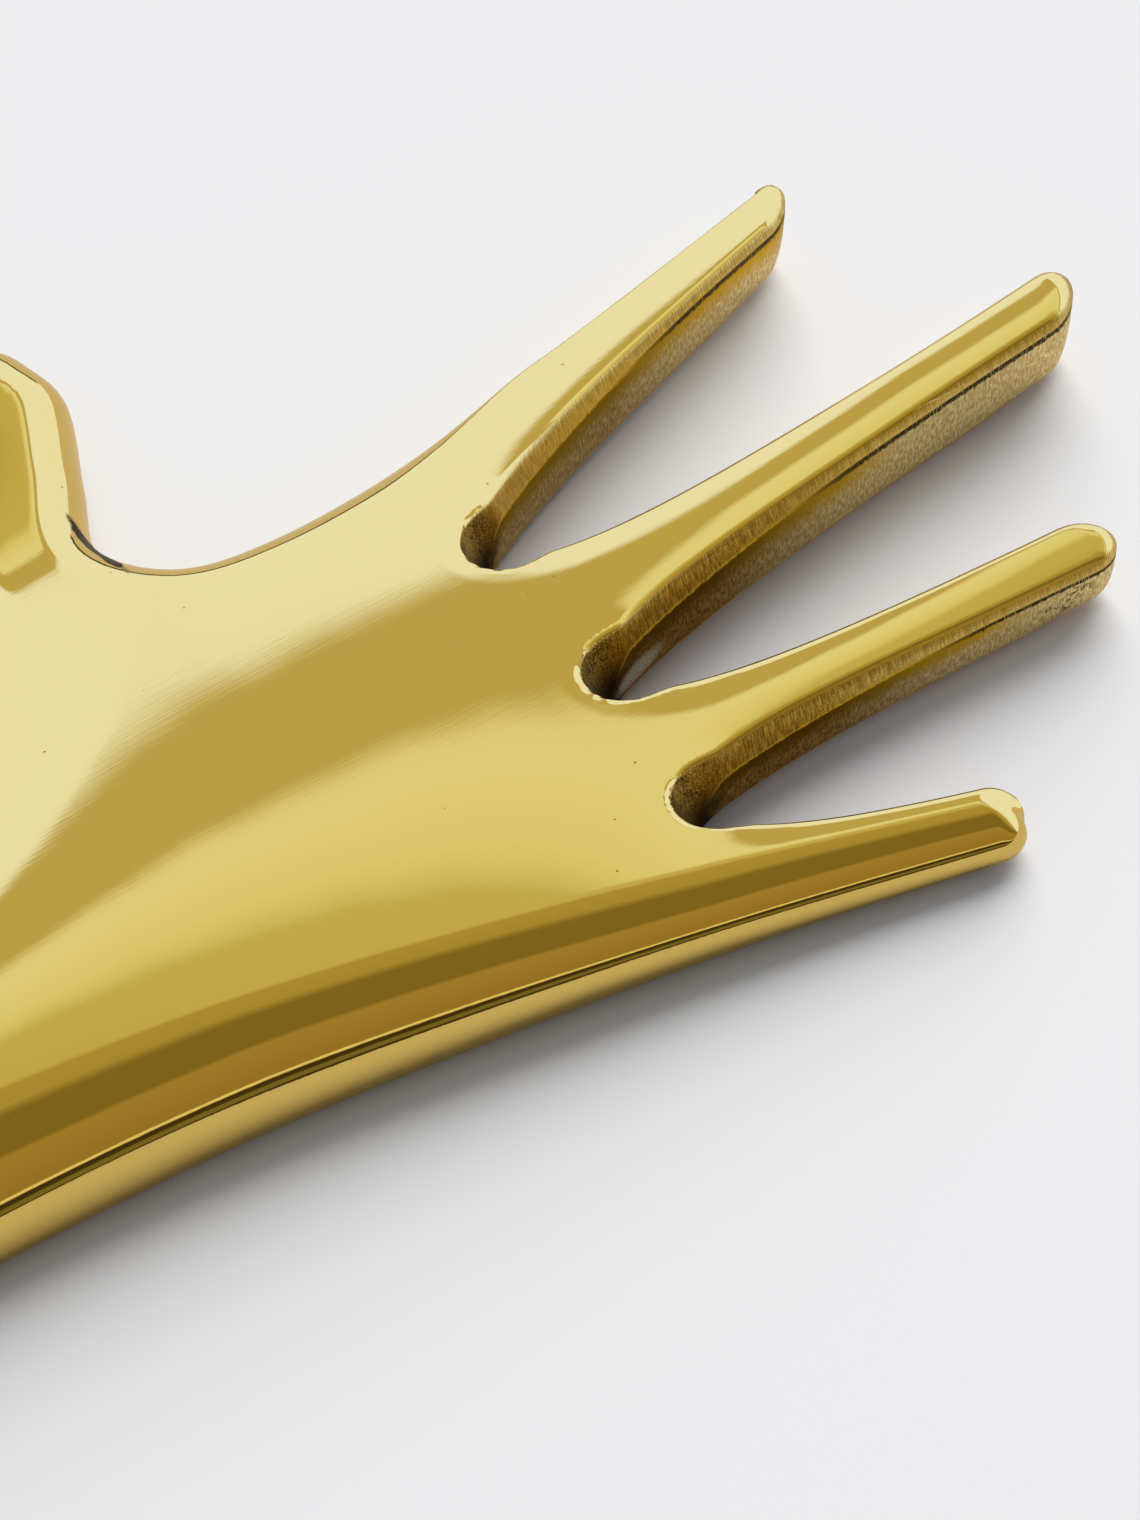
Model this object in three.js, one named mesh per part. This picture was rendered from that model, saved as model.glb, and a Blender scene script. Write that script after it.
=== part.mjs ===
// Hand paperweight: an open hand cast in one piece of solid brass, with a thin felt pad glued
// under the palm. Millimetres, +Z up, +X from the wrist to the fingertips, +Y to the thumb side.
// The origin is the middle of the felt pad's underside, on the desk.
import * as THREE from 'three';

// Felt pad under the palm
const PAD_THICKNESS = 0.8;
const PAD_LENGTH = 62;
const PAD_WRIST_WIDTH = 20;
const PAD_KNUCKLE_WIDTH = 34;
const PAD_CORNER = 6;
const PAD_EDGE = 0.2;

// Top of the casting: highest at the wrist, lowest at the fingertips, arched from side to side
const WRIST_X = -40;
const FINGERTIP_X = 92;
const WRIST_TOP = 10.5;
const FINGERTIP_TOP = 8;
const WRIST_ARCH = { startX: -62, radius: 47 };
const FINGER_ARCH = { startX: 33, radius: 138 };
const WRIST_CREST = { x: -29, y: -4.3 };
const FINGER_CREST = { x: 75, y: 18.5 };
const THUMB_ARCH_REACH = 38;
const LITTLE_ARCH_REACH = 50;
const THUMB_SWELL = { height: 1.6, rootY: 34, tipY: 58 };

// Filed walls of the finger gaps: a steep facet, deepest near the web, from the crease to a rolled rim
const FACET_SLOPE = 2.1;
const FACET_WEB_DEPTH = 2;
const FACET_TIP_DEPTH = 0.7;
const FACET_FADE = 34;
const RIM_ROLL = 0.9;
const WEB_ROLL = 0.3;
const WEB_ROLL_REACH = 12;
const WEB_LIP = 1.8;
const WEB_LIP_REACH = 5;

// Crown of the fingers: how far their tops fall towards the gaps
const FINGER_CROWN = 0.14;
const CROWN_REACH = 4;
const CROWN_BLEND = 2;
const CROWN_START = { none: 0.5, full: 7 };

// The underside stands in from the widest line of the walls, and further at the fingertips
const GAP_UNDERCUT = 0.5;
const SIDE_UNDERCUT = 1.4;
const TIP_UNDERCUT = 0.85;
const TIP_UNDERCUT_REACH = 7;

// Each gap between two fingers opens from its web along its own direction, with a crown on its thumb side
const GAPS = [
  { web: [38.35, 14.55], turn: 8.9, webRadius: 1.1, length: 36, mouth: 16.7, crown: 0.44 },
  { web: [38.5, -0.8], turn: 0.75, webRadius: 0.85, length: 39, mouth: 14.65, crown: 0.2 },
  { web: [37.2, -13.6], turn: -9.9, webRadius: 0.9, length: 34, mouth: 15.2, crown: 0.2 },
];

// How far each finger's flanks run from the webs before its rounded tip, and the tip's own length
const INDEX = { nearFlank: 39.8, tip: 3 };
const MIDDLE = { farFlank: 51.1, nearFlank: 50.2, tip: 3.1 };
const RING = { farFlank: 38, nearFlank: 39, tip: 3.3 };
const LITTLE = { farFlank: 21, tip: 2.8 };

// The thumb stands out from its root, and its end is round
const THUMB_ROOT_Y = 28;
const THUMB_LENGTH = 33;
const THUMB_TIP = 6.3;
const thumbY = (share) => THUMB_ROOT_Y + THUMB_LENGTH * share;
// Thumb side, from the index fingertip round the thumb's web to the end of the thumb
const THUMB_SIDE = [
  [78, 33.8], [53, 29.2], [36.5, 27.8], [26.1, 28], [19.2, 30.1],
  [15.9, thumbY(0.24)], [18.9, thumbY(0.45)], [22.3, thumbY(0.67)], [21.9, thumbY(0.81)],
];
// Back of the thumb, from the wrist corner to the end of the thumb
const THUMB_BACK = [
  [-37, 17], [-16, 20], [-2, 29], [4.6, thumbY(0.36)], [7, thumbY(0.64)], [7.3, thumbY(0.79)],
];
// Little-finger side, from the wrist corner to the little finger's tip
const LITTLE_SIDE = [[-37, -14], [-4.5, -16.4], [31.7, -22.8], [55.5, -28.2]];
const WRIST_BULGE = 7;
const WRIST_ROUNDNESS = 2.6;

// Rounded outer sides: height of the widest line and reach of the rounding
const SIDE_CREASE = 2.6;
const THUMB_CREASE = 1.5;
const LITTLE_TIP_CREASE = 1;
const LITTLE_REACH = { wrist: 9, tip: 1.6 };
const THUMB_SIDE_REACH = { palm: 4.5, index: 0.8 };
const THUMB_REACH_X = { palm: 34, index: 52 };
const THUMB_CREASE_X = { thumb: 18, index: 36 };
const LITTLE_CREASE_X = { palm: 20, tip: 56 };
const WRIST_END_REACH = 7;

// Where the surface patches meet, as shares of the outlines above and lengths
const INDEX_ROOT_SHARE = 0.206;
const THUMB_WEB_SHARE = 0.55;
const THUMB_BACK_SHARE = 0.42;
const LITTLE_ROOT_SHARE = 0.76;
const WEB_PATCH_LENGTH = 4;
const WEB_PATCH_DEPTH = 9.5;
const BEND_FADE = 3;
const WRIST_FADE = 8;
const TIP_START_SHARE = 0.9;

// Mesh density
const HALF_FINGER_COLUMNS = 5;
const FINGER_COLUMNS = 2 * HALF_FINGER_COLUMNS;
const FINGER_ROWS = 14;
const WEB_COLUMNS = 12;
const THUMB_COLUMNS = 12;
const THUMB_ROWS = 11;
const WRIST_ROWS = 10;
const WRIST_CLUSTER = 1.7;
const KNUCKLE_ROWS = 10;
const GAP_SAMPLES = 60;
const SIDE_SAMPLES = 80;
const WALL_STEPS = [0.4, 0.8, 1];
const NEAR_ZERO = 1e-6;

const { lerp, clamp, degToRad, smoothstep } = THREE.MathUtils;
const lerpPoint = (a, b, share) => new THREE.Vector2().lerpVectors(a, b, share);
const spline = (points) => new THREE.SplineCurve(points.map(([x, y]) => new THREE.Vector2(x, y)));
const stretch = (curve, first, last) => (share) => curve.getPoint(lerp(first, last, share));
const edgeClustered = (share) => (1 - Math.cos(Math.PI * share)) / 2;
const cap = (share, power) => (1 - Math.abs(2 * share - 1) ** power) ** (1 / power);

const thumbSide = spline(THUMB_SIDE);
const thumbBack = spline(THUMB_BACK);
const littleSide = spline(LITTLE_SIDE);

// A gap's flank is a conic: its web has the given radius and its mouth the given width
function flankPoint(gap, distance, side) {
  const half = gap.mouth / 2;
  const bend = (half * half - 2 * gap.webRadius * gap.length) / (gap.length * gap.length);
  const square = 2 * gap.webRadius * distance + bend * distance * distance;
  return new THREE.Vector2(distance, side * Math.sqrt(Math.max(square, 0)))
    .rotateAround(new THREE.Vector2(), degToRad(gap.turn))
    .add(new THREE.Vector2(...gap.web));
}
function flank(gap, length, side) {
  return (share) => flankPoint(gap, lerp(WEB_PATCH_LENGTH, length, share), side);
}
const webArc = (gap) => (share) => {
  const turn = 1 - 2 * share;
  return flankPoint(gap, WEB_PATCH_LENGTH * turn * turn, Math.sign(turn));
};

// Each finger, and the thumb, is a strip between its far and its near flank
const [indexGap, middleGap, ringGap] = GAPS;
const FINGERS = [
  {
    far: stretch(thumbSide, INDEX_ROOT_SHARE, 0),
    near: flank(indexGap, INDEX.nearFlank, 1),
    tip: INDEX.tip,
  },
  {
    far: flank(indexGap, MIDDLE.farFlank, -1),
    near: flank(middleGap, MIDDLE.nearFlank, 1),
    tip: MIDDLE.tip,
  },
  {
    far: flank(middleGap, RING.farFlank, -1),
    near: flank(ringGap, RING.nearFlank, 1),
    tip: RING.tip,
  },
  {
    far: flank(ringGap, LITTLE.farFlank, -1),
    near: stretch(littleSide, LITTLE_ROOT_SHARE, 1),
    tip: LITTLE.tip,
  },
];
const THUMB = {
  far: stretch(thumbBack, THUMB_BACK_SHARE, 1),
  near: stretch(thumbSide, THUMB_WEB_SHARE, 1),
  tip: THUMB_TIP,
};

// Point of a strip with its rounded end: along runs from root to tip, across from far to near
function stripPoint(strip, along, across) {
  const start = lerpPoint(strip.far(TIP_START_SHARE), strip.near(TIP_START_SHARE), 0.5);
  const end = lerpPoint(strip.far(1), strip.near(1), 0.5);
  const reach = end.sub(start).setLength(strip.tip * along ** 2 * cap(across, 2));
  return lerpPoint(strip.far(along), strip.near(along), across).add(reach);
}

// Web patch: from a line across the palm, behind the web, to the web itself
function webPoint(order, share, inward) {
  const farRoot = stripPoint(FINGERS[order], 0, 0.5);
  const nearRoot = stripPoint(FINGERS[order + 1], 0, 0.5);
  const line = lerpPoint(farRoot, nearRoot, share);
  line.x -= WEB_PATCH_DEPTH * Math.sin(Math.PI * share);
  return lerpPoint(line, webArc(GAPS[order])(share), inward);
}

// Knuckle line of the palm, from the index finger's outer side to the little finger's
const fingerAcross = (column) => edgeClustered(column / FINGER_COLUMNS);
const knuckles = [];
for (let column = 0; column < HALF_FINGER_COLUMNS; column += 1) {
  knuckles.push(stripPoint(FINGERS[0], 0, fingerAcross(column)));
}
for (let column = 0; column < GAPS.length * WEB_COLUMNS; column += 1) {
  const order = Math.floor(column / WEB_COLUMNS);
  knuckles.push(webPoint(order, column / WEB_COLUMNS - order, 0));
}
for (let column = HALF_FINGER_COLUMNS; column <= FINGER_COLUMNS; column += 1) {
  knuckles.push(stripPoint(FINGERS.at(-1), 0, fingerAcross(column)));
}

// Thumb side of the palm, from the wrist along the root of the thumb to the index finger
const palmSide = [];
for (let row = 0; row < WRIST_ROWS; row += 1) {
  palmSide.push(thumbBack.getPoint(THUMB_BACK_SHARE * (row / WRIST_ROWS) ** WRIST_CLUSTER));
}
for (let row = 0; row < THUMB_COLUMNS; row += 1) {
  palmSide.push(stripPoint(THUMB, 0, edgeClustered(row / THUMB_COLUMNS)));
}
for (let row = 0; row <= KNUCKLE_ROWS; row += 1) {
  palmSide.push(thumbSide.getPoint(lerp(THUMB_WEB_SHARE, INDEX_ROOT_SHARE, row / KNUCKLE_ROWS)));
}

function wristPoint(across) {
  const point = lerpPoint(thumbBack.getPoint(0), littleSide.getPoint(0), across);
  point.x -= WRIST_BULGE * cap(across, WRIST_ROUNDNESS);
  return point;
}

// Point of the palm: a plain four-cornered patch, with the bends of its sides fading across it
function palmPoint(row, column) {
  const [thumbCorner, littleCorner] = [thumbBack.getPoint(0), littleSide.getPoint(0)];
  const [indexCorner, littleRoot] = [palmSide.at(-1), knuckles.at(-1)];
  const along = (palmSide[row].x - thumbCorner.x) / (indexCorner.x - thumbCorner.x);
  const across = (indexCorner.y - knuckles[column].y) / (indexCorner.y - littleRoot.y);
  const wrist = lerpPoint(thumbCorner, littleCorner, across);
  const knuckle = lerpPoint(indexCorner, littleRoot, across);
  const wristBend = wristPoint(across).sub(wrist);
  const knuckleBend = knuckles[column].clone().sub(knuckle);
  const thumbBend = palmSide[row].clone().sub(lerpPoint(thumbCorner, indexCorner, along));
  const littleBend = littleSide.getPoint(LITTLE_ROOT_SHARE * along)
    .sub(lerpPoint(littleCorner, littleRoot, along));
  return lerpPoint(wrist, knuckle, along)
    .addScaledVector(wristBend, (1 - along) ** WRIST_FADE)
    .addScaledVector(knuckleBend, along ** BEND_FADE)
    .addScaledVector(thumbBend, (1 - across) ** BEND_FADE)
    .addScaledVector(littleBend, across ** BEND_FADE);
}

// Edges of the plan, each with its widest line's height and how the top falls to it
function samples(pointAt, count) {
  return Array.from({ length: count + 1 }, (_, step) => pointAt(step / count));
}
const gapLines = GAPS.map((gap) => samples((share) => {
  const turn = 1 - 2 * share;
  return flankPoint(gap, MIDDLE.farFlank * turn * turn, Math.sign(turn));
}, 2 * GAP_SAMPLES));
const tipArc = (strip, end) => samples((share) => stripPoint(strip, 1, 1 - end * share), SIDE_SAMPLES);
const tipLines = FINGERS.map((finger) => tipArc(finger, 1));
const thumbOutline = [
  ...samples(stretch(thumbSide, 0, 1), SIDE_SAMPLES),
  ...tipArc(THUMB, 1),
  ...samples(stretch(thumbBack, 1, 0), SIDE_SAMPLES),
];
const littleOutline = [
  ...samples(stretch(littleSide, 0, 1), SIDE_SAMPLES),
  ...tipArc(FINGERS.at(-1), 0.5),
];
const wristOutline = samples((share) => wristPoint(edgeClustered(share)), SIDE_SAMPLES);
const tipward = (x) => clamp((x - WRIST_X) / (FINGERTIP_X - WRIST_X), 0, 1);
const indexward = (x) => smoothstep(x, THUMB_CREASE_X.thumb, THUMB_CREASE_X.index);
const fingerward = (x) => smoothstep(x, THUMB_REACH_X.palm, THUMB_REACH_X.index);
const littleTipward = (x) => smoothstep(x, LITTLE_CREASE_X.palm, LITTLE_CREASE_X.tip);
const roundedEdges = [
  {
    line: thumbOutline,
    crease: (x) => lerp(THUMB_CREASE, SIDE_CREASE, indexward(x)),
    reach: (x) => lerp(THUMB_SIDE_REACH.palm, THUMB_SIDE_REACH.index, fingerward(x)),
  },
  {
    line: littleOutline,
    crease: (x) => lerp(SIDE_CREASE, LITTLE_TIP_CREASE, littleTipward(x)),
    reach: (x) => lerp(LITTLE_REACH.wrist, LITTLE_REACH.tip, tipward(x)),
  },
  { line: wristOutline, crease: () => SIDE_CREASE, reach: () => WRIST_END_REACH },
];

function distanceToLine(point, line) {
  let nearest = Infinity;
  for (let step = 1; step < line.length; step += 1) {
    const [a, b] = [line[step - 1], line[step]];
    const [runX, runY] = [b.x - a.x, b.y - a.y];
    const square = runX * runX + runY * runY;
    const dot = (point.x - a.x) * runX + (point.y - a.y) * runY;
    const share = square > 0 ? clamp(dot / square, 0, 1) : 0;
    const distance = Math.hypot(point.x - a.x - runX * share, point.y - a.y - runY * share);
    nearest = Math.min(nearest, distance);
  }
  return nearest;
}

function smoothMin(a, b, blend) {
  return Math.min(a, b) - Math.max(blend - Math.abs(a - b), 0) ** 2 / (4 * blend);
}
function rounded(distance, reach) {
  return Math.sqrt(1 - (1 - clamp(distance / reach, 0, 1)) ** 2);
}

// Top height of the casting, and undercut of its wall, at a point of the plan
function surfaceAt(point) {
  const archShare = smoothstep(point.x, WRIST_ARCH.startX, FINGER_ARCH.startX);
  const archBend = lerp(1 / WRIST_ARCH.radius, 1 / FINGER_ARCH.radius, archShare);
  const crestShare = smoothstep(point.x, WRIST_CREST.x, FINGER_CREST.x);
  const fromCrest = point.y - lerp(WRIST_CREST.y, FINGER_CREST.y, crestShare);
  const archReach = fromCrest > 0 ? THUMB_ARCH_REACH : LITTLE_ARCH_REACH;
  const archWidth = archReach * Math.tanh(fromCrest / archReach);
  let dome = lerp(WRIST_TOP, FINGERTIP_TOP, smoothstep(point.x, WRIST_X, FINGERTIP_X));
  dome -= (archBend / 2) * archWidth ** 2;
  dome += THUMB_SWELL.height * smoothstep(point.y, THUMB_SWELL.rootY, THUMB_SWELL.tipY);
  const gapDistances = gapLines.map((line) => distanceToLine(point, line));
  const fromWebs = GAPS.map((gap) => point.clone().sub(new THREE.Vector2(...gap.web)));
  GAPS.forEach((gap, k) => {
    const across = fromWebs[k].clone().rotateAround(new THREE.Vector2(), -degToRad(gap.turn)).y;
    const crown = lerp(FINGER_CROWN, gap.crown, smoothstep(across, -CROWN_BLEND, CROWN_BLEND));
    const shown = smoothstep(fromWebs[k].length(), CROWN_START.none, CROWN_START.full);
    dome -= shown * crown * Math.max(0, 1 - gapDistances[k] / CROWN_REACH) ** 2;
  });

  let top = dome;
  let fromSide = Infinity;
  for (const { line, reach, crease } of roundedEdges) {
    const distance = distanceToLine(point, line);
    top = lerp(crease(point.x), top, rounded(distance, reach(point.x)));
    fromSide = Math.min(fromSide, distance);
  }

  const fromWeb = Math.min(...fromWebs.map((offset) => offset.length()));
  const fromTip = Math.min(...tipLines.map((line) => distanceToLine(point, line)));
  const fromFiled = Math.min(...gapDistances, fromTip);
  const depth = lerp(FACET_WEB_DEPTH, FACET_TIP_DEPTH, smoothstep(fromWeb, 0, FACET_FADE));
  const crease = lerp(WEB_LIP, dome - depth, smoothstep(fromWeb, 0, WEB_LIP_REACH));
  const roll = lerp(WEB_ROLL, RIM_ROLL, smoothstep(fromWeb, 0, WEB_ROLL_REACH));
  top = smoothMin(top, crease + FACET_SLOPE * fromFiled, roll);
  const sideShare = fromFiled ** 2 / (fromFiled ** 2 + fromSide ** 2 + NEAR_ZERO);
  const wallUndercut = lerp(GAP_UNDERCUT, SIDE_UNDERCUT, sideShare);
  const undercut = lerp(TIP_UNDERCUT, wallUndercut, smoothstep(fromTip, 0, TIP_UNDERCUT_REACH));
  return { top: PAD_THICKNESS + top, undercut };
}

// Triangles between the points of a grid whose columns run clockwise of its rows, seen from above
function gridTriangles(rows) {
  const triangles = [];
  for (let row = 1; row < rows.length; row += 1) {
    for (let column = 1; column < rows[row].length; column += 1) {
      const [a, b] = [rows[row - 1][column - 1], rows[row][column - 1]];
      const [c, d] = [rows[row][column], rows[row - 1][column]];
      triangles.push([a, c, b], [a, d, c]);
    }
  }
  return triangles;
}

// Loop round a surface: the edges that only one of its triangles uses, one after the other
function outlineLoop(triangles) {
  const edges = triangles.flatMap(([a, b, c]) => [[a, b], [b, c], [c, a]]);
  const used = new Set(edges.map(([from, to]) => `${from},${to}`));
  const next = new Map(edges.filter(([from, to]) => !used.has(`${to},${from}`)));
  const loop = [next.keys().next().value];
  while (next.get(loop.at(-1)) !== loop[0]) loop.push(next.get(loop.at(-1)));
  return loop;
}

function castingGeometry() {
  const plan = [];
  const surfaces = [];
  const addPoint = (point) => {
    surfaces.push(surfaceAt(point));
    return plan.push(point) - 1;
  };

  // Top: palm, webs, fingers and thumb, sharing the points where they meet
  const palmRow = (row) => knuckles.map((_, column) => addPoint(palmPoint(row, column)));
  const palm = palmSide.map((_, row) => palmRow(row));
  const triangles = gridTriangles(palm);
  const knuckleRow = palm.at(-1);
  const webs = GAPS.map((_, order) => {
    const first = HALF_FINGER_COLUMNS + order * WEB_COLUMNS;
    const grid = [knuckleRow.slice(first, first + WEB_COLUMNS + 1)];
    for (let row = 1; row <= HALF_FINGER_COLUMNS; row += 1) {
      const inward = 2 * fingerAcross(HALF_FINGER_COLUMNS + row) - 1;
      const points = grid[0].map((__, column) => webPoint(order, column / WEB_COLUMNS, inward));
      grid.push(points.map((point) => addPoint(point)));
    }
    triangles.push(...gridTriangles(grid));
    return grid;
  });
  const addStrip = (strip, rootRow, rows) => {
    const grid = [rootRow];
    for (let row = 1; row <= rows; row += 1) {
      grid.push(rootRow.map((_, column) => {
        const across = edgeClustered(column / (rootRow.length - 1));
        return addPoint(stripPoint(strip, row / rows, across));
      }));
    }
    triangles.push(...gridTriangles(grid));
  };
  FINGERS.forEach((finger, order) => {
    const farHalf = order > 0
      ? webs[order - 1].map((row) => row.at(-1)).reverse()
      : knuckleRow.slice(0, HALF_FINGER_COLUMNS + 1);
    const nearHalf = order < webs.length
      ? webs[order].map((row) => row[0])
      : knuckleRow.slice(-HALF_FINGER_COLUMNS - 1);
    addStrip(finger, [...farHalf, ...nearHalf.slice(1)], FINGER_ROWS);
  });
  const thumbRow = palm.slice(WRIST_ROWS, WRIST_ROWS + THUMB_COLUMNS + 1).map((row) => row[0]);
  addStrip(THUMB, thumbRow, THUMB_ROWS);

  // Walls: from the widest line down and in to the flat underside
  const loop = outlineLoop(triangles);
  const positions = plan.map((point, k) => [point.x, point.y, surfaces[k].top]);
  let lowest = loop;
  for (const step of WALL_STEPS) {
    const upper = lowest;
    lowest = loop.map((vertex, k) => {
      const before = plan[loop.at(k - 1)];
      const after = plan[loop[(k + 1) % loop.length]];
      const along = after.clone().sub(before).normalize();
      const inset = surfaces[vertex].undercut * (1 - Math.sqrt(1 - step * step));
      const { x, y } = plan[vertex];
      const height = lerp(surfaces[vertex].top, PAD_THICKNESS, step);
      return positions.push([x - along.y * inset, y + along.x * inset, height]) - 1;
    });
    const ring = [upper, lowest].map((row) => [...row, row[0]]);
    triangles.push(...gridTriangles(ring).map(([a, b, c]) => [a, c, b]));
  }
  const contour = lowest.map((vertex) => new THREE.Vector2(...positions[vertex]));
  const underside = THREE.ShapeUtils.triangulateShape(contour, []);
  triangles.push(...underside.map(([a, b, c]) => [lowest[c], lowest[b], lowest[a]]));

  const geometry = new THREE.BufferGeometry();
  geometry.setAttribute('position', new THREE.Float32BufferAttribute(positions.flat(), 3));
  geometry.setIndex(triangles.flat());
  return geometry;
}

// Pad outline: narrow at the wrist, wide at the knuckles, with round corners
function padGeometry() {
  const half = PAD_LENGTH / 2;
  const corners = [
    [-half, -PAD_WRIST_WIDTH / 2], [half, -PAD_KNUCKLE_WIDTH / 2],
    [half, PAD_KNUCKLE_WIDTH / 2], [-half, PAD_WRIST_WIDTH / 2],
  ].map(([x, y]) => new THREE.Vector2(x, y));
  const shape = new THREE.Shape();
  corners.forEach((corner, k) => {
    const before = corners[(k + 3) % 4];
    const after = corners[(k + 1) % 4];
    const enter = corner.clone().add(before.clone().sub(corner).setLength(PAD_CORNER));
    const leave = corner.clone().add(after.clone().sub(corner).setLength(PAD_CORNER));
    if (k) shape.lineTo(enter.x, enter.y);
    else shape.moveTo(enter.x, enter.y);
    shape.quadraticCurveTo(corner.x, corner.y, leave.x, leave.y);
  });
  const geometry = new THREE.ExtrudeGeometry(shape, {
    depth: PAD_THICKNESS - 2 * PAD_EDGE, bevelThickness: PAD_EDGE, bevelSize: PAD_EDGE,
    bevelOffset: -PAD_EDGE, bevelSegments: 1, curveSegments: 8,
  });
  return geometry.translate(0, 0, PAD_EDGE);
}

const polishedBrass = new THREE.MeshStandardMaterial({ color: '#c9a648', roughness: 0.15, metalness: 1 });
const darkFelt = new THREE.MeshStandardMaterial({ color: '#2b2d2c', roughness: 0.95, metalness: 0 });

const casting = new THREE.Mesh(castingGeometry(), polishedBrass);
casting.name = 'hand_casting';
const pad = new THREE.Mesh(padGeometry(), darkFelt);
pad.name = 'palm_felt_pad';

const paperweight = new THREE.Group();
paperweight.add(casting, pad);

export default paperweight;
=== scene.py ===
# %% [markdown]
# # A brass hand paperweight
# This lesson dresses a small desk weight: an open hand, poured in one piece of solid brass and polished,
# which lies palm down on a thin felt pad. The sizes come from a imported CAD model, the frame, and
# everything here is built around it in metres, with +X towards the fingertips, +Y towards the thumb and
# +Z up. The frame is loaded first.

# %% Load the frame
import math

import bpy
import numpy as np
from mathutils import Matrix, Vector


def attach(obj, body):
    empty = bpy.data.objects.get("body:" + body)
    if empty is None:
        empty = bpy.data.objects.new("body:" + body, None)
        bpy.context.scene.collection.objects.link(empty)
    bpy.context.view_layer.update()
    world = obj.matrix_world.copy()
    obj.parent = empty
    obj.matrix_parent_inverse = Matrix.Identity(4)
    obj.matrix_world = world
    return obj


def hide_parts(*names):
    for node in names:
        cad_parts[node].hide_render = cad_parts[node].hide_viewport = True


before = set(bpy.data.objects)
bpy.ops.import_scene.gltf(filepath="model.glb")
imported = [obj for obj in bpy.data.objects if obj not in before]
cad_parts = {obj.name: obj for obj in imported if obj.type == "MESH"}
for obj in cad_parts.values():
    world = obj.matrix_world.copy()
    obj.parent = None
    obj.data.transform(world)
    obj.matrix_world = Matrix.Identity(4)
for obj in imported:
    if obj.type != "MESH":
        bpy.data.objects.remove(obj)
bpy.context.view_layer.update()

# %% [markdown]
# ## The camera
# The picture was taken from above the wrist and the little finger, looking down at 52 degrees, through a
# long lens that flattens the hand. It is a close crop: the wrist and the end of the thumb lie outside the
# frame. A camera can be aimed with a constraint, but a matrix made from its three directions is exact, so
# the camera's place, its right and its up direction are written down and the matrix is built from them.

# %% Camera
CAMERA_PLACE = Vector((-0.153425, -0.259684, 0.410924))
CAMERA_RIGHT = Vector((0.80902, -0.58779, 0.0))
CAMERA_UP = Vector((0.46318, 0.63751, 0.61566))
CAMERA_BACK = CAMERA_RIGHT.cross(CAMERA_UP)
CAMERA_LENS, SENSOR_WIDTH = 160.105, 36.0


def add_object(name, data):
    made = bpy.data.objects.new(name, data)
    bpy.context.scene.collection.objects.link(made)
    return made


camera = add_object("camera", bpy.data.cameras.new("camera"))
camera.data.lens = CAMERA_LENS
camera.data.sensor_width = SENSOR_WIDTH
camera.matrix_world = Matrix.Translation(CAMERA_PLACE) @ Matrix(
    (CAMERA_RIGHT, CAMERA_UP, CAMERA_BACK)
).transposed().to_4x4()
bpy.context.scene.camera = camera
bpy.context.scene.view_settings.view_transform = "Standard"
print("camera", round(CAMERA_PLACE.length, 3), "m from the origin, lens", CAMERA_LENS, "mm")

# %% [markdown]
# ## Shader maths
# The finishes below need masks and patterns, which in Blender are chains of nodes. Wiring them one by one
# is hard to read, so this small class wraps a socket: arithmetic on it adds Math nodes, and one method
# adds any other node from its type, its settings and what its sockets get. Two helpers beside it start a
# new finish and feed the results into its shader.

# %% A socket that can be added and multiplied
class Wire:
    def __init__(self, tree, socket=None):
        self.tree = tree
        self.socket = socket

    def node(self, kind, settings=None, inputs=None, output=0):
        made = self.tree.nodes.new(kind)
        for name, value in (settings or {}).items():
            if name == "stops":
                set_stops(made.color_ramp, value)
            else:
                setattr(made, name, value)
        for name, value in (inputs or {}).items():
            if isinstance(value, Wire):
                self.tree.links.new(value.socket, made.inputs[name])
            else:
                made.inputs[name].default_value = value
        return Wire(self.tree, made.outputs[output])

    def math(self, operation, first, second=0.0):
        return self.node("ShaderNodeMath", {"operation": operation}, {0: first, 1: second})

    def __add__(self, other):
        return self.math("ADD", self, other)

    __radd__ = __add__

    def __sub__(self, other):
        return self.math("SUBTRACT", self, other)

    def __rsub__(self, other):
        return self.math("SUBTRACT", other, self)

    def __mul__(self, other):
        return self.math("MULTIPLY", self, other)

    __rmul__ = __mul__

    def step(self, low, high):
        """0 below low, 1 above high, smooth between; high may be the smaller one."""
        return self.node(
            "ShaderNodeMapRange",
            {"interpolation_type": "SMOOTHSTEP"},
            {"Value": self, "From Min": low, "From Max": high},
        )

    def blend(self, first, second):
        """Colour that goes from first to second as this value goes from 0 to 1."""
        return self.node(
            "ShaderNodeMix", {"data_type": "RGBA"}, {0: self, 6: first, 7: second}, output=2
        )


def set_stops(ramp, stops):
    while len(ramp.elements) > 1:
        ramp.elements.remove(ramp.elements[-1])
    ramp.elements[0].position = stops[0][0]
    ramp.elements[0].color = (*stops[0][1], 1.0)
    for place, colour in stops[1:]:
        ramp.elements.new(place).color = (*colour, 1.0)


def new_finish(name):
    """A material, its shader and a wire from which its patterns start."""
    made = bpy.data.materials.new(name)
    made.use_nodes = True
    return made, made.node_tree.nodes["Principled BSDF"], Wire(made.node_tree)


def feed(node, wires):
    for name, wire in wires.items():
        wire.tree.links.new(wire.socket, node.inputs[name])


print("shader helpers ready")

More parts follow.
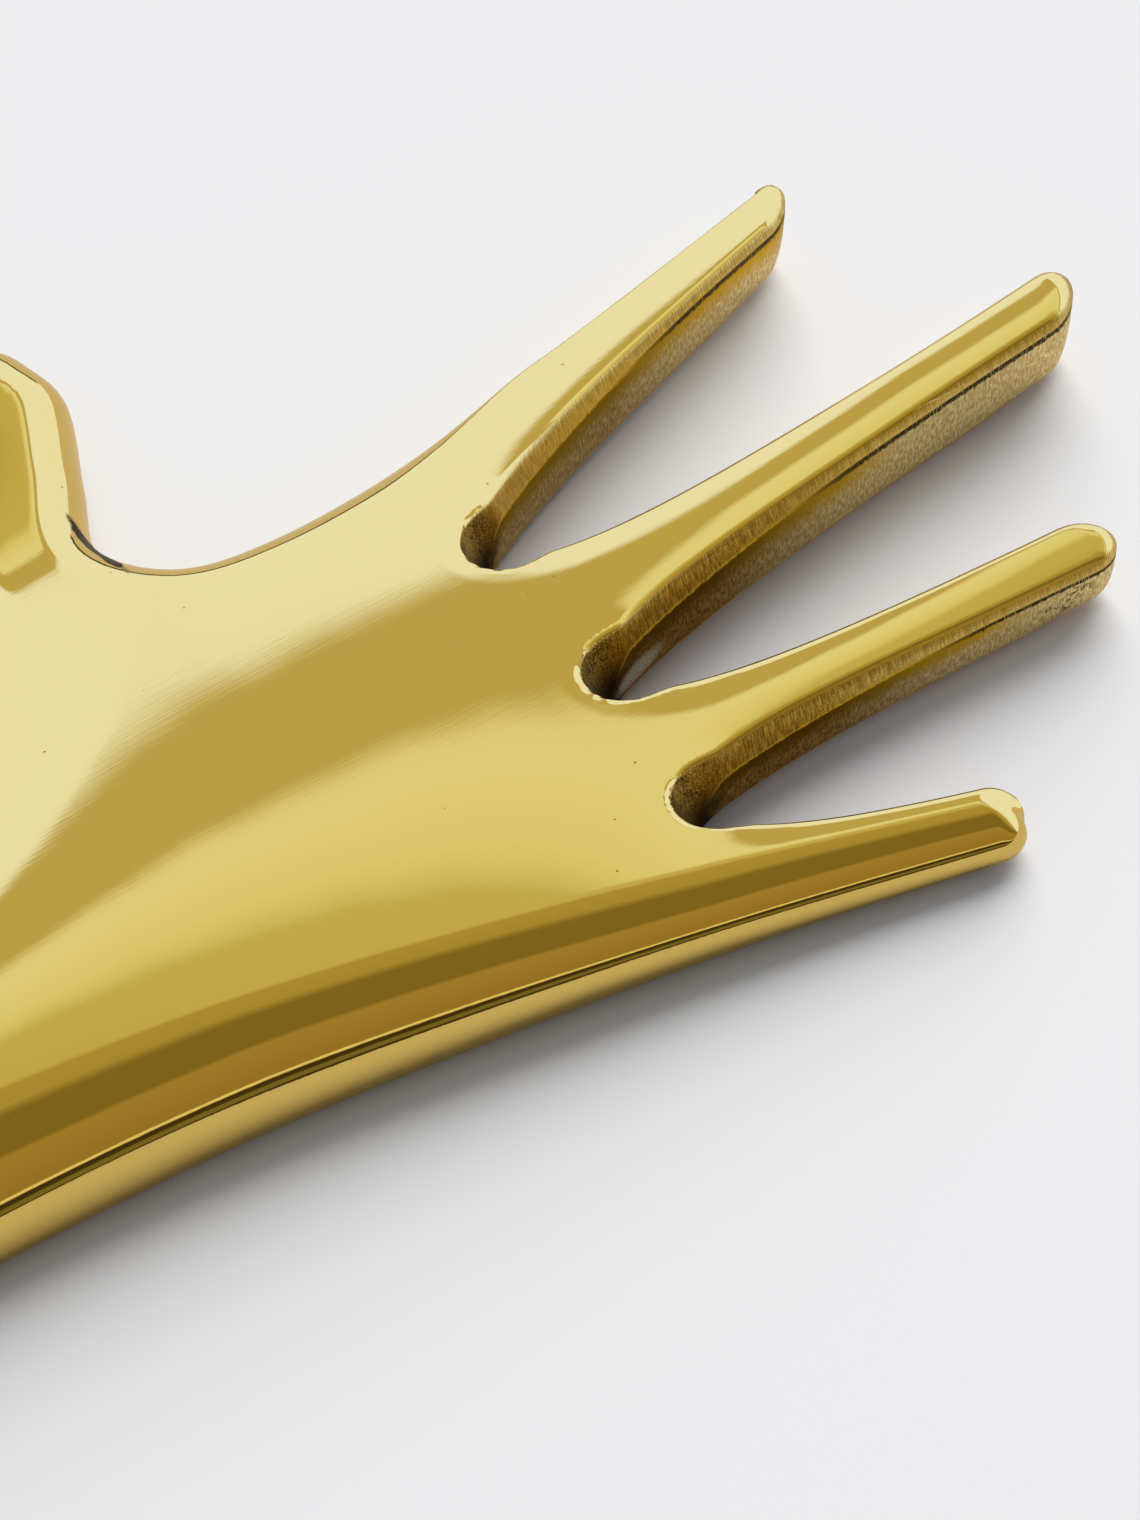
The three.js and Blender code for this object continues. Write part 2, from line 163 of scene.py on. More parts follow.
# %% [markdown]
# ## The studio
# Polished brass shows the room more than itself. Here a tall light panel stands behind the hand on a dark
# foot, and a narrow one hangs above it with a gap between the two. Overhead and on the camera's side the
# room is dim and warm, with one more panel to the left and a thin pale strip low behind the camera, which
# draws a line along the little finger's side. Lamps could stand for the panels, but then their distance
# would bend the reflections, so the panels are painted into the world by direction. First come their
# colours by angle, which runs from 0 at the far horizon over 90 overhead to 180 at the horizon behind the
# camera.

# %% Light panels by angle
HALF_TURN = 180.0
LEFT_PANEL = (1.0, 1.02, 1.05, 1.0)
LEFT_PANEL_SIDE, LEFT_PANEL_FOOT, LEFT_PANEL_HEAD = (12.0, 2.0), (76.0, 80.0), (152.0, 148.0)
HORIZON_DARK = (0.05, 0.045, 0.03, 1.0)
HORIZON_RISE, HORIZON_SIDE = (7.0, 3.0), (24.0, 18.0)
STUDIO_STOPS = [
    (0.0, (0.96, 1.05, 1.5)),
    (49.9, (0.96, 1.06, 1.6)),
    (50.6, (0.58, 0.5, 0.27)),
    (53.5, (0.58, 0.49, 0.26)),
    (54.2, (0.88, 0.9, 0.86)),
    (57.4, (0.8, 0.8, 0.6)),
    (58.2, (0.64, 0.57, 0.31)),
    (61.5, (0.62, 0.54, 0.28)),
    (64.0, (0.48, 0.37, 0.13)),
    (76.0, (0.45, 0.35, 0.12)),
    (82.0, (0.25, 0.18, 0.05)),
    (103.0, (0.24, 0.18, 0.05)),
    (106.0, (0.4, 0.28, 0.09)),
    (139.2, (0.35, 0.23, 0.07)),
    (140.2, (0.85, 0.76, 0.46)),
    (142.8, (0.85, 0.76, 0.46)),
    (144.0, (0.06, 0.04, 0.015)),
    (150.0, (0.06, 0.04, 0.015)),
    (152.0, (0.2, 0.17, 0.06)),
    (157.0, (0.2, 0.17, 0.06)),
    (159.0, (0.06, 0.04, 0.015)),
    (HALF_TURN, (0.06, 0.04, 0.015)),
]
print("studio of", len(STUDIO_STOPS), "stops from horizon to horizon")

# %% [markdown]
# ## Painting the world
# A direction in the room becomes two angles: its rise over the far horizon, and its side, which is
# negative to the left. The panels lean, so the rise is shifted with the side. Only the brass sees the
# panels. Dull things are lit by an even fill instead, and the camera itself sees paper white beyond the
# floor.

# %% Studio world
CAMERA_FORWARD = Vector((-CAMERA_BACK.x, -CAMERA_BACK.y, 0.0)).normalized()
PANEL_TILT, TILT_CENTRE, TILT_LIMIT = 0.5, 6.0, -18.0
PAPER_WHITE = (0.855, 0.855, 0.855, 1.0)
ROOM_FILL = (0.222, 0.24, 0.268, 1.0)

world = bpy.data.worlds.new("studio")
bpy.context.scene.world = world
world.use_nodes = True
world.node_tree.nodes.clear()
studio = Wire(world.node_tree)
direction = studio.node("ShaderNodeTexCoord", output="Generated")


def along_axis(axis):
    return studio.node(
        "ShaderNodeVectorMath",
        {"operation": "DOT_PRODUCT"},
        {0: direction, 1: tuple(axis)},
        output="Value",
    )


rise = studio.math("ARCTAN2", along_axis((0, 0, 1)), along_axis(CAMERA_FORWARD)) * math.degrees(1)
side = studio.math("ARCSINE", along_axis(CAMERA_RIGHT)) * math.degrees(1)
leaning_rise = rise - PANEL_TILT * studio.math("MAXIMUM", side - TILT_CENTRE, TILT_LIMIT)
panels = studio.node(
    "ShaderNodeValToRGB",
    {"stops": [(angle / HALF_TURN, colour) for angle, colour in STUDIO_STOPS]},
    {"Fac": leaning_rise * (1.0 / HALF_TURN)},
)
left_panel = side.step(*LEFT_PANEL_SIDE) * rise.step(*LEFT_PANEL_FOOT) * rise.step(*LEFT_PANEL_HEAD)
dark_line = rise.step(*HORIZON_RISE) * side.step(*HORIZON_SIDE)
room = dark_line.blend(left_panel.blend(panels, LEFT_PANEL), HORIZON_DARK)
is_diffuse = studio.node("ShaderNodeLightPath", output="Is Diffuse Ray")
is_camera = studio.node("ShaderNodeLightPath", output="Is Camera Ray")
seen = is_camera.blend(is_diffuse.blend(room, ROOM_FILL), PAPER_WHITE)
background = studio.node("ShaderNodeBackground", None, {"Color": seen, "Strength": 1.0})
world_output = world.node_tree.nodes.new("ShaderNodeOutputWorld")
feed(world_output, {"Surface": background})
print("studio world with", len(world.node_tree.nodes), "nodes")

# %% [markdown]
# ## The floor
# The hand lies on plain paper. In the brass that paper looks dimmer and warmer than it does to the
# camera, because the sides of the hand see the strip of paper that lies in their own shade, lit by what
# the brass throws back. A darker floor would spoil the white ground, so the paper takes a second colour
# for the rays that come from a mirror.

# %% Floor
FLOOR_SIZE, FLOOR_DROP = 60.0, 0.00005
PAPER_IN_BRASS = (0.66, 0.56, 0.43, 1.0)

floor_mesh = bpy.data.meshes.new("floor")
half_floor = FLOOR_SIZE / 2
floor_mesh.from_pydata(
    [
        (-half_floor, -half_floor, -FLOOR_DROP),
        (half_floor, -half_floor, -FLOOR_DROP),
        (half_floor, half_floor, -FLOOR_DROP),
        (-half_floor, half_floor, -FLOOR_DROP),
    ],
    [],
    [(0, 1, 2, 3)],
)
floor = add_object("floor", floor_mesh)
paper, paper_shader, paper_wire = new_finish("paper")
is_glossy = paper_wire.node("ShaderNodeLightPath", output="Is Glossy Ray")
feed(paper_shader, {"Base Color": is_glossy.blend(PAPER_WHITE, PAPER_IN_BRASS)})
paper_shader.inputs["Roughness"].default_value = 1.0
paper_shader.inputs["Specular IOR Level"].default_value = 0.0
floor_mesh.materials.append(paper)
print("floor", FLOOR_SIZE, "m wide,", FLOOR_DROP, "m under the felt")

# %% [markdown]
# ## The lamp
# The shadow beside the hand is soft and short. One wide lamp, high above the far side, makes it, where a
# small lamp would cut a hard edge. The lamp isn't seen in the brass, because the panels of the world are
# what the brass shows.

# %% Lamp
LAMP_SIZE, LAMP_POWER, LAMP_COLOUR = 9.0, 1078.0, (1.0, 0.977, 0.941)
LAMP_BEHIND, LAMP_RIGHT, LAMP_HEIGHT = 6.6, 1.5, 4.8

lamp = add_object("wide_lamp", bpy.data.lights.new("wide_lamp", "AREA"))
lamp.data.shape = "DISK"
lamp.data.size = LAMP_SIZE
lamp.data.energy = LAMP_POWER
lamp.data.color = LAMP_COLOUR
lamp.location = CAMERA_FORWARD * LAMP_BEHIND + CAMERA_RIGHT * LAMP_RIGHT + Vector((0.0, 0.0, LAMP_HEIGHT))
lamp.rotation_mode = "QUATERNION"
lamp.rotation_quaternion = lamp.location.to_track_quat("Z", "Y")
lamp.visible_camera = False
lamp.visible_glossy = False
print("lamp", LAMP_SIZE, "m wide,", LAMP_POWER, "W")

# %% [markdown]
# ## The outline of the hand
# The plan of the hand is drawn in millimetres, as a maker would draw the pattern for the mould. Each gap
# between two fingers is one smooth curve, tight at the web and open at the mouth, and a finger is the
# strip that is left between two gaps. The thumb side, the back of the thumb and the little-finger side
# are splines through a few points. The CAD model uses the same numbers with far fewer points.

# %% Plan sizes in millimetres
STAND_OFF = 0.8
GAPS = [
    {"web": (38.35, 14.55), "turn": 8.9, "web_radius": 1.1, "length": 36.0, "mouth": 16.7, "crown": 0.44},
    {"web": (38.5, -0.8), "turn": 0.75, "web_radius": 0.85, "length": 39.0, "mouth": 14.65, "crown": 0.2},
    {"web": (37.2, -13.6), "turn": -9.9, "web_radius": 0.9, "length": 34.0, "mouth": 15.2, "crown": 0.2},
]
INDEX_FLANK, INDEX_TIP = 39.8, 3.0
MIDDLE_FAR_FLANK, MIDDLE_NEAR_FLANK, MIDDLE_TIP = 51.1, 50.2, 3.1
RING_FAR_FLANK, RING_NEAR_FLANK, RING_TIP = 38.0, 39.0, 3.3
LITTLE_FLANK, LITTLE_TIP = 21.0, 2.8
THUMB_ROOT_Y, THUMB_LENGTH, THUMB_TIP = 28.0, 33.0, 6.3
WRIST_BULGE, WRIST_ROUNDNESS = 7.0, 2.6


def thumb_y(share):
    return THUMB_ROOT_Y + THUMB_LENGTH * share


THUMB_SIDE = np.array([
    (78.0, 33.8), (53.0, 29.2), (36.5, 27.8), (26.1, 28.0), (19.2, 30.1),
    (15.9, thumb_y(0.24)), (18.9, thumb_y(0.45)), (22.3, thumb_y(0.67)), (21.9, thumb_y(0.81)),
])
THUMB_BACK = np.array([
    (-37.0, 17.0), (-16.0, 20.0), (-2.0, 29.0),
    (4.6, thumb_y(0.36)), (7.0, thumb_y(0.64)), (7.3, thumb_y(0.79)),
])
LITTLE_SIDE = np.array([(-37.0, -14.0), (-4.5, -16.4), (31.7, -22.8), (55.5, -28.2)])
print("plan:", len(GAPS), "finger gaps, thumb", THUMB_LENGTH, "mm long")

# %% [markdown]
# ## Curves of the plan
# A spline through points and a gap's flank are all the curves that the plan needs. They take a whole
# array of places at once, because the fine mesh has tens of thousands of points.

# %% Curve helpers
WEB_PATCH_LENGTH = 4.0
TIP_START = 0.9


def lerp(start, end, share):
    return start + (end - start) * share


def smoothstep(value, low, high):
    share = np.clip((value - low) / (high - low), 0.0, 1.0)
    return share * share * (3.0 - 2.0 * share)


def edge_clustered(share):
    return (1.0 - np.cos(np.pi * share)) / 2.0


def cap(share, power):
    return np.maximum(1.0 - np.abs(2.0 * share - 1.0) ** power, 0.0) ** (1.0 / power)


def spline(points, share):
    place = (len(points) - 1) * np.asarray(share, float)
    knot = np.floor(place).astype(int)
    last = len(points) - 1
    before, start = points[np.maximum(knot - 1, 0)], points[np.minimum(knot, last)]
    end, after = points[np.minimum(knot + 1, last)], points[np.minimum(knot + 2, last)]
    t = (place - knot)[..., None]
    leave, arrive = (end - before) / 2.0, (after - start) / 2.0
    cubic = 2.0 * start - 2.0 * end + leave + arrive
    square = -3.0 * start + 3.0 * end - 2.0 * leave - arrive
    return ((cubic * t + square) * t + leave) * t + start


def flank_point(gap, distance, side):
    half = gap["mouth"] / 2.0
    bend = (half**2 - 2.0 * gap["web_radius"] * gap["length"]) / gap["length"] ** 2
    distance = np.asarray(distance, float)
    offset = side * np.sqrt(np.maximum(2.0 * gap["web_radius"] * distance + bend * distance**2, 0.0))
    turn = math.radians(gap["turn"])
    forward = distance * math.cos(turn) - offset * math.sin(turn)
    across = distance * math.sin(turn) + offset * math.cos(turn)
    return np.stack([forward, across], -1) + np.array(gap["web"])


def flank(gap, length, side):
    return lambda share: flank_point(gap, lerp(WEB_PATCH_LENGTH, length, np.asarray(share, float)), side)


def stretch(points, first, last):
    return lambda share: spline(points, lerp(first, last, np.asarray(share, float)))


print("index finger starts", np.round(flank_point(GAPS[0], WEB_PATCH_LENGTH, 1), 1))

# %% [markdown]
# ## Fingers, webs and palm as patches
# The plan is covered by patches that share their edge points: a strip for each finger and the thumb, a
# small patch behind each web, and one large patch for the palm, whose own bent sides fade out across it.
# Patches keep the mesh in tidy rows along the fingers, which a cut-out outline would not give.

# %% Patch points
INDEX_ROOT, THUMB_WEB, THUMB_BACK_ROOT, LITTLE_ROOT = 0.206, 0.55, 0.42, 0.76
WEB_PATCH_DEPTH, BEND_FADE, WRIST_FADE, WRIST_CLUSTER = 9.5, 3, 8, 1.7

FINGERS = [
    (stretch(THUMB_SIDE, INDEX_ROOT, 0.0), flank(GAPS[0], INDEX_FLANK, 1), INDEX_TIP),
    (flank(GAPS[0], MIDDLE_FAR_FLANK, -1), flank(GAPS[1], MIDDLE_NEAR_FLANK, 1), MIDDLE_TIP),
    (flank(GAPS[1], RING_FAR_FLANK, -1), flank(GAPS[2], RING_NEAR_FLANK, 1), RING_TIP),
    (flank(GAPS[2], LITTLE_FLANK, -1), stretch(LITTLE_SIDE, LITTLE_ROOT, 1.0), LITTLE_TIP),
]
THUMB = (stretch(THUMB_BACK, THUMB_BACK_ROOT, 1.0), stretch(THUMB_SIDE, THUMB_WEB, 1.0), THUMB_TIP)


def strip_point(strip, along, across):
    far, near, tip = strip
    along, across = np.broadcast_arrays(np.asarray(along, float), np.asarray(across, float))
    reach = (far(1.0) + near(1.0) - far(TIP_START) - near(TIP_START)) / 2.0
    reach = reach / np.linalg.norm(reach)
    rounding = (tip * along**2 * cap(across, 2))[..., None]
    return lerp(far(along), near(along), across[..., None]) + reach * rounding


def web_point(order, share, inward):
    share, inward = np.broadcast_arrays(np.asarray(share, float), np.asarray(inward, float))
    line = lerp(
        strip_point(FINGERS[order], 0.0, 0.5), strip_point(FINGERS[order + 1], 0.0, 0.5), share[..., None]
    )
    line[..., 0] -= WEB_PATCH_DEPTH * np.sin(np.pi * share)
    turn = 1.0 - 2.0 * share
    arc = flank_point(GAPS[order], WEB_PATCH_LENGTH * turn**2, np.sign(turn))
    return lerp(line, arc, inward[..., None])


def wrist_point(across):
    across = np.asarray(across, float)
    point = lerp(THUMB_BACK[0], LITTLE_SIDE[0], across[..., None])
    point[..., 0] -= WRIST_BULGE * cap(across, WRIST_ROUNDNESS)
    return point


def palm_points(palm_side, knuckles):
    thumb_corner, little_corner = THUMB_BACK[0], LITTLE_SIDE[0]
    index_corner, little_root = palm_side[-1], knuckles[-1]
    along = ((palm_side[:, 0] - thumb_corner[0]) / (index_corner[0] - thumb_corner[0]))[:, None, None]
    across = ((index_corner[1] - knuckles[:, 1]) / (index_corner[1] - little_root[1]))[None, :, None]
    wrist = lerp(thumb_corner, little_corner, across)
    knuckle = lerp(index_corner, little_root, across)
    wrist_bend = wrist_point(across[..., 0]) - wrist
    knuckle_bend = knuckles[None] - knuckle
    thumb_bend = palm_side[:, None] - lerp(thumb_corner, index_corner, along)
    little_bend = spline(LITTLE_SIDE, LITTLE_ROOT * along[..., 0]) - lerp(little_corner, little_root, along)
    return (
        lerp(wrist, knuckle, along)
        + wrist_bend * (1.0 - along) ** WRIST_FADE
        + knuckle_bend * along**BEND_FADE
        + thumb_bend * (1.0 - across) ** BEND_FADE
        + little_bend * across**BEND_FADE
    )


print("index fingertip at", np.round(strip_point(FINGERS[0], 1.0, 0.5), 1))

# %% [markdown]
# ## Edges of the plan
# How high a point of the top is depends on how far it lies from the edges: from the filed walls of the
# gaps and the fingertips, or from the rolled outer sides. Each of those edges is drawn as a fine line of
# points, and a helper gives the distance to the nearest stretch of such a line. The little finger's
# rolled side ends half way round its tip.

# %% Edge lines
OUTLINE_SHARES = np.linspace(0.0, 1.0, 161)
LITTLE_TIP_SHARE = 0.5
POINTS_AT_ONCE = 4000

gap_turns = 1.0 - 2.0 * OUTLINE_SHARES
GAP_LINES = [flank_point(gap, MIDDLE_FAR_FLANK * gap_turns**2, np.sign(gap_turns)) for gap in GAPS]


def tip_arc(strip, end=1.0):
    return strip_point(strip, 1.0, 1.0 - end * OUTLINE_SHARES)


TIP_LINES = [tip_arc(finger) for finger in FINGERS]
THUMB_LINE = np.concatenate([
    spline(THUMB_SIDE, OUTLINE_SHARES), tip_arc(THUMB), spline(THUMB_BACK, 1.0 - OUTLINE_SHARES)
])
LITTLE_LINE = np.concatenate([spline(LITTLE_SIDE, OUTLINE_SHARES), tip_arc(FINGERS[-1], LITTLE_TIP_SHARE)])
WRIST_LINE = wrist_point(edge_clustered(OUTLINE_SHARES))


def distance_to_line(points, line):
    run = np.diff(line, axis=0)
    length = (run**2).sum(1)
    start, run, length = line[:-1][length > 0], run[length > 0], length[length > 0]
    nearest = []
    for block in np.array_split(points, max(1, len(points) // POINTS_AT_ONCE)):
        offset = block[:, None] - start
        share = np.clip((offset * run).sum(-1) / length, 0.0, 1.0)
        nearest.append(np.sqrt(((offset - run * share[..., None]) ** 2).sum(-1).min(1)))
    return np.concatenate(nearest)


print("edges:", len(GAP_LINES), "gaps,", len(TIP_LINES), "tips, thumb side of", len(THUMB_LINE), "points")

# %% [markdown]
# ## The arch of the top
# Seen from the side the hand is highest at the wrist and low at the fingertips. It is arched across,
# tighter at the wrist than at the fingers, and the crest of the arch runs towards the index finger. The
# thumb swells up again. A sculpted mesh could have that shape too, but a rule with a few sizes follows
# the CAD model exactly.

# %% Arch
WRIST_X, FINGERTIP_X = -40.0, 92.0
WRIST_TOP, FINGERTIP_TOP = 10.5, 8.0
WRIST_ARCH_X, WRIST_ARCH_RADIUS = -62.0, 47.0
FINGER_ARCH_X, FINGER_ARCH_RADIUS = 33.0, 138.0
WRIST_CREST, FINGER_CREST = (-29.0, -4.3), (75.0, 18.5)
THUMB_ARCH_REACH, LITTLE_ARCH_REACH = 38.0, 50.0
THUMB_SWELL, THUMB_SWELL_Y = 1.6, (34.0, 58.0)


def dome_height(x, y):
    arch_share = smoothstep(x, WRIST_ARCH_X, FINGER_ARCH_X)
    bend = lerp(1.0 / WRIST_ARCH_RADIUS, 1.0 / FINGER_ARCH_RADIUS, arch_share)
    crest_share = smoothstep(x, WRIST_CREST[0], FINGER_CREST[0])
    from_crest = y - lerp(WRIST_CREST[1], FINGER_CREST[1], crest_share)
    reach = np.where(from_crest > 0.0, THUMB_ARCH_REACH, LITTLE_ARCH_REACH)
    arch_width = reach * np.tanh(from_crest / reach)
    crest = lerp(WRIST_TOP, FINGERTIP_TOP, smoothstep(x, WRIST_X, FINGERTIP_X))
    return crest - bend / 2.0 * arch_width**2 + THUMB_SWELL * smoothstep(y, *THUMB_SWELL_Y)


print("arch over the origin", np.round(dome_height(0.0, 0.0), 2), "mm")

# %% [markdown]
# ## Rolled sides and filed gaps
# The outer sides of the hand are rolled over like a bull nose, while the walls of the finger gaps were
# filed: a steep facet falls from a small rolled rim to a crease. The height is one rule for every point
# of the plan, so the patches meet without a seam in the polish. The rule also gives how far the wall
# below a point stands in at the desk, and the values that the finish needs.

# %% Height of the top
FINGER_CROWN, CROWN_REACH, CROWN_BLEND, CROWN_START = 0.14, 4.0, 2.0, (0.5, 7.0)
FACET_WEB_DEPTH, FACET_TIP_DEPTH, FACET_FADE = 2.0, 0.7, 34.0
FACET_SLOPE, WEB_LIP, WEB_LIP_REACH = 2.1, 1.8, 5.0
RIM_ROLL, WEB_ROLL, WEB_ROLL_REACH = 0.9, 0.3, 12.0
GAP_UNDERCUT, SIDE_UNDERCUT, TIP_UNDERCUT, TIP_UNDERCUT_REACH = 0.5, 1.4, 0.85, 7.0
SIDE_CREASE, THUMB_CREASE, LITTLE_TIP_CREASE = 2.6, 1.5, 1.0
LITTLE_WRIST_REACH, LITTLE_TIP_REACH, WRIST_END_REACH = 9.0, 1.6, 7.0
THUMB_PALM_REACH, THUMB_INDEX_REACH, THUMB_REACH_X = 4.5, 0.8, (34.0, 52.0)
THUMB_CREASE_X, LITTLE_CREASE_X = (18.0, 36.0), (20.0, 56.0)
NEAR_ZERO = 1e-6


def rounded(distance, reach):
    return np.sqrt(1.0 - (1.0 - np.clip(distance / reach, 0.0, 1.0)) ** 2)


def smooth_min(a, b, roll):
    return np.minimum(a, b) - np.maximum(roll - np.abs(a - b), 0.0) ** 2 / (4.0 * roll)


def gap_offset(points, gap):
    """Place along a gap's axis and across it, from its web."""
    turn = math.radians(gap["turn"])
    axes = np.array([(math.cos(turn), -math.sin(turn)), (math.sin(turn), math.cos(turn))])
    return (points - np.array(gap["web"])) @ axes


def top_surface(points):
    """Height of the top, undercut of the wall below it and the values that the finish needs."""
    x, y = points.T
    dome = dome_height(x, y)
    gap_distances = [distance_to_line(points, line) for line in GAP_LINES]
    offsets = np.array([gap_offset(points, gap) for gap in GAPS])
    for gap, distance, offset in zip(GAPS, gap_distances, offsets):
        crown_share = smoothstep(offset[:, 1], -CROWN_BLEND, CROWN_BLEND)
        fall = np.maximum(0.0, 1.0 - distance / CROWN_REACH) ** 2
        fall = fall * smoothstep(np.linalg.norm(offset, axis=-1), *CROWN_START)
        dome = dome - lerp(FINGER_CROWN, gap["crown"], crown_share) * fall

    tipward = np.clip((x - WRIST_X) / (FINGERTIP_X - WRIST_X), 0.0, 1.0)
    thumb_reach = lerp(THUMB_PALM_REACH, THUMB_INDEX_REACH, smoothstep(x, *THUMB_REACH_X))
    thumb_crease = lerp(THUMB_CREASE, SIDE_CREASE, smoothstep(x, *THUMB_CREASE_X))
    little_reach = lerp(LITTLE_WRIST_REACH, LITTLE_TIP_REACH, tipward)
    little_crease = lerp(SIDE_CREASE, LITTLE_TIP_CREASE, smoothstep(x, *LITTLE_CREASE_X))
    rounded_edges = [
        (THUMB_LINE, thumb_reach, thumb_crease),
        (LITTLE_LINE, little_reach, little_crease),
        (WRIST_LINE, WRIST_END_REACH, SIDE_CREASE),
    ]
    smooth_top = dome
    from_side = np.inf
    for line, reach, crease in rounded_edges:
        distance = distance_to_line(points, line)
        smooth_top = lerp(crease, smooth_top, rounded(distance, reach))
        from_side = np.minimum(from_side, distance)

    web_distances = np.linalg.norm(offsets, axis=-1)
    from_web = web_distances.min(0)
    from_tip = np.min([distance_to_line(points, line) for line in TIP_LINES], axis=0)
    from_filed = np.minimum(np.min(gap_distances, axis=0), from_tip)
    depth = lerp(FACET_WEB_DEPTH, FACET_TIP_DEPTH, smoothstep(from_web, 0.0, FACET_FADE))
    filed_crease = lerp(WEB_LIP, dome - depth, smoothstep(from_web, 0.0, WEB_LIP_REACH))
    roll = lerp(WEB_ROLL, RIM_ROLL, smoothstep(from_web, 0.0, WEB_ROLL_REACH))
    top = smooth_min(smooth_top, filed_crease + FACET_SLOPE * from_filed, roll)
    side_share = from_filed**2 / (from_filed**2 + from_side**2 + NEAR_ZERO)
    wall_undercut = lerp(GAP_UNDERCUT, SIDE_UNDERCUT, side_share)
    return {
        "top": STAND_OFF + top,
        "undercut": lerp(TIP_UNDERCUT, wall_undercut, smoothstep(from_tip, 0.0, TIP_UNDERCUT_REACH)),
        "filed": smooth_top - top,
        "from_filed": from_filed,
        "from_web": from_web,
        "gap_along": np.take_along_axis(offsets[..., 0], web_distances.argmin(0)[None], 0)[0],
    }


check_point = np.array([(0.0, 0.0)])
print("top over the origin", np.round(top_surface(check_point)["top"], 2), "mm")

# %% [markdown]
# ## Rows of quads
# Each patch becomes a grid of points and the quads between them. Points that two patches share are added
# once: a finger's strip, for one, starts from the row of points that is already there. So the mesh has no
# seams to weld, as it would have if every patch were an object of its own.

# %% Points and quads
plan_blocks = []
faces = []


def add_points(points):
    first = sum(len(block) for block in plan_blocks)
    flat = points.reshape(-1, 2)
    plan_blocks.append(flat)
    return first + np.arange(len(flat)).reshape(points.shape[:-1])


def add_quads(grid):
    quads = np.stack([grid[:-1, :-1], grid[:-1, 1:], grid[1:, 1:], grid[1:, :-1]], -1)
    faces.extend(quads.reshape(-1, 4).tolist())


def add_strip(strip, root_row, rows):
    across = edge_clustered(np.linspace(0.0, 1.0, len(root_row)))
    along = np.linspace(0.0, 1.0, rows + 1)[1:, None]
    add_quads(np.vstack([root_row, add_points(strip_point(strip, along, across[None]))]))


print("to lay: the palm,", len(GAPS), "webs,", len(FINGERS), "fingers and the thumb")

# %% [markdown]
# ## The mesh of the top
# The palm is laid first, since its rim holds the points that the webs and the thumb start from. The webs
# follow, because half of each finger's root lies along a web. Rows are closer together near the edges,
# where the surface bends most. Every point then gets its height from the one rule.

# %% Build the top
HALF_FINGER_COLUMNS, FINGER_ROWS, WEB_COLUMNS = 22, 64, 56
THUMB_COLUMNS, THUMB_ROWS, WRIST_ROWS, KNUCKLE_ROWS = 36, 32, 30, 32

finger_shares = edge_clustered(np.linspace(0.0, 1.0, 2 * HALF_FINGER_COLUMNS + 1))
web_shares = np.linspace(0.0, 1.0, WEB_COLUMNS + 1)
knuckles = np.concatenate([
    strip_point(FINGERS[0], 0.0, finger_shares[:HALF_FINGER_COLUMNS]),
    *[web_point(order, web_shares[:-1], 0.0) for order in range(len(GAPS))],
    strip_point(FINGERS[-1], 0.0, finger_shares[HALF_FINGER_COLUMNS:]),
])
wrist_shares = np.linspace(0.0, 1.0, WRIST_ROWS + 1)[:-1] ** WRIST_CLUSTER
palm_side = np.concatenate([
    spline(THUMB_BACK, THUMB_BACK_ROOT * wrist_shares),
    strip_point(THUMB, 0.0, edge_clustered(np.linspace(0.0, 1.0, THUMB_COLUMNS + 1)[:-1])),
    spline(THUMB_SIDE, np.linspace(THUMB_WEB, INDEX_ROOT, KNUCKLE_ROWS + 1)),
])
palm = add_points(palm_points(palm_side, knuckles))
add_quads(palm)
to_web = 2.0 * finger_shares[HALF_FINGER_COLUMNS + 1 :, None] - 1.0
web_grids = []
for order in range(len(GAPS)):
    first = HALF_FINGER_COLUMNS + order * WEB_COLUMNS
    web_rows = add_points(web_point(order, web_shares, to_web))
    grid = np.vstack([palm[-1, first : first + WEB_COLUMNS + 1], web_rows])
    add_quads(grid)
    web_grids.append(grid)
far_halves = [palm[-1, : HALF_FINGER_COLUMNS + 1], *[grid[::-1, -1] for grid in web_grids]]
near_halves = [*[grid[:, 0] for grid in web_grids], palm[-1, -HALF_FINGER_COLUMNS - 1 :]]
for finger, far_half, near_half in zip(FINGERS, far_halves, near_halves):
    add_strip(finger, np.concatenate([far_half, near_half[1:]]), FINGER_ROWS)
add_strip(THUMB, palm[WRIST_ROWS : WRIST_ROWS + THUMB_COLUMNS + 1, 0], THUMB_ROWS)
plan = np.concatenate(plan_blocks)
surface = top_surface(plan)
tops = surface["top"]
print("top:", len(plan), "points,", len(faces), "quads, highest", round(tops.max(), 2), "mm")

# %% [markdown]
# ## Walls and underside
# The outer loop is found from the quads themselves: an edge that only one quad uses lies on the outline.
# The loop is lowered to the flat underside in rows that curve inwards, which a plain extrusion would not
# do, and one face closes the underside. Four values are kept at each point for the finish: how deep the
# file went, how far down a filed wall the point lies, how far it is from the nearest web and how far
# along that web's gap.

# %% Close the casting
WALL_ROWS = 10
GAP_WALL_REACH = (0.2, 2.2)

edges = {(start, end) for quad in faces for start, end in zip(quad, quad[1:] + quad[:1])}
outline_next = {start: end for start, end in edges if (end, start) not in edges}
loop = [min(outline_next)]
while outline_next[loop[-1]] != loop[0]:
    loop.append(outline_next[loop[-1]])
loop = np.array(loop)

positions = [np.column_stack([plan, tops])]
marks = {
    "filed": [surface["filed"]],
    "wall": [np.zeros(len(plan))],
    "from_web": [surface["from_web"]],
    "gap_along": [surface["gap_along"]],
}


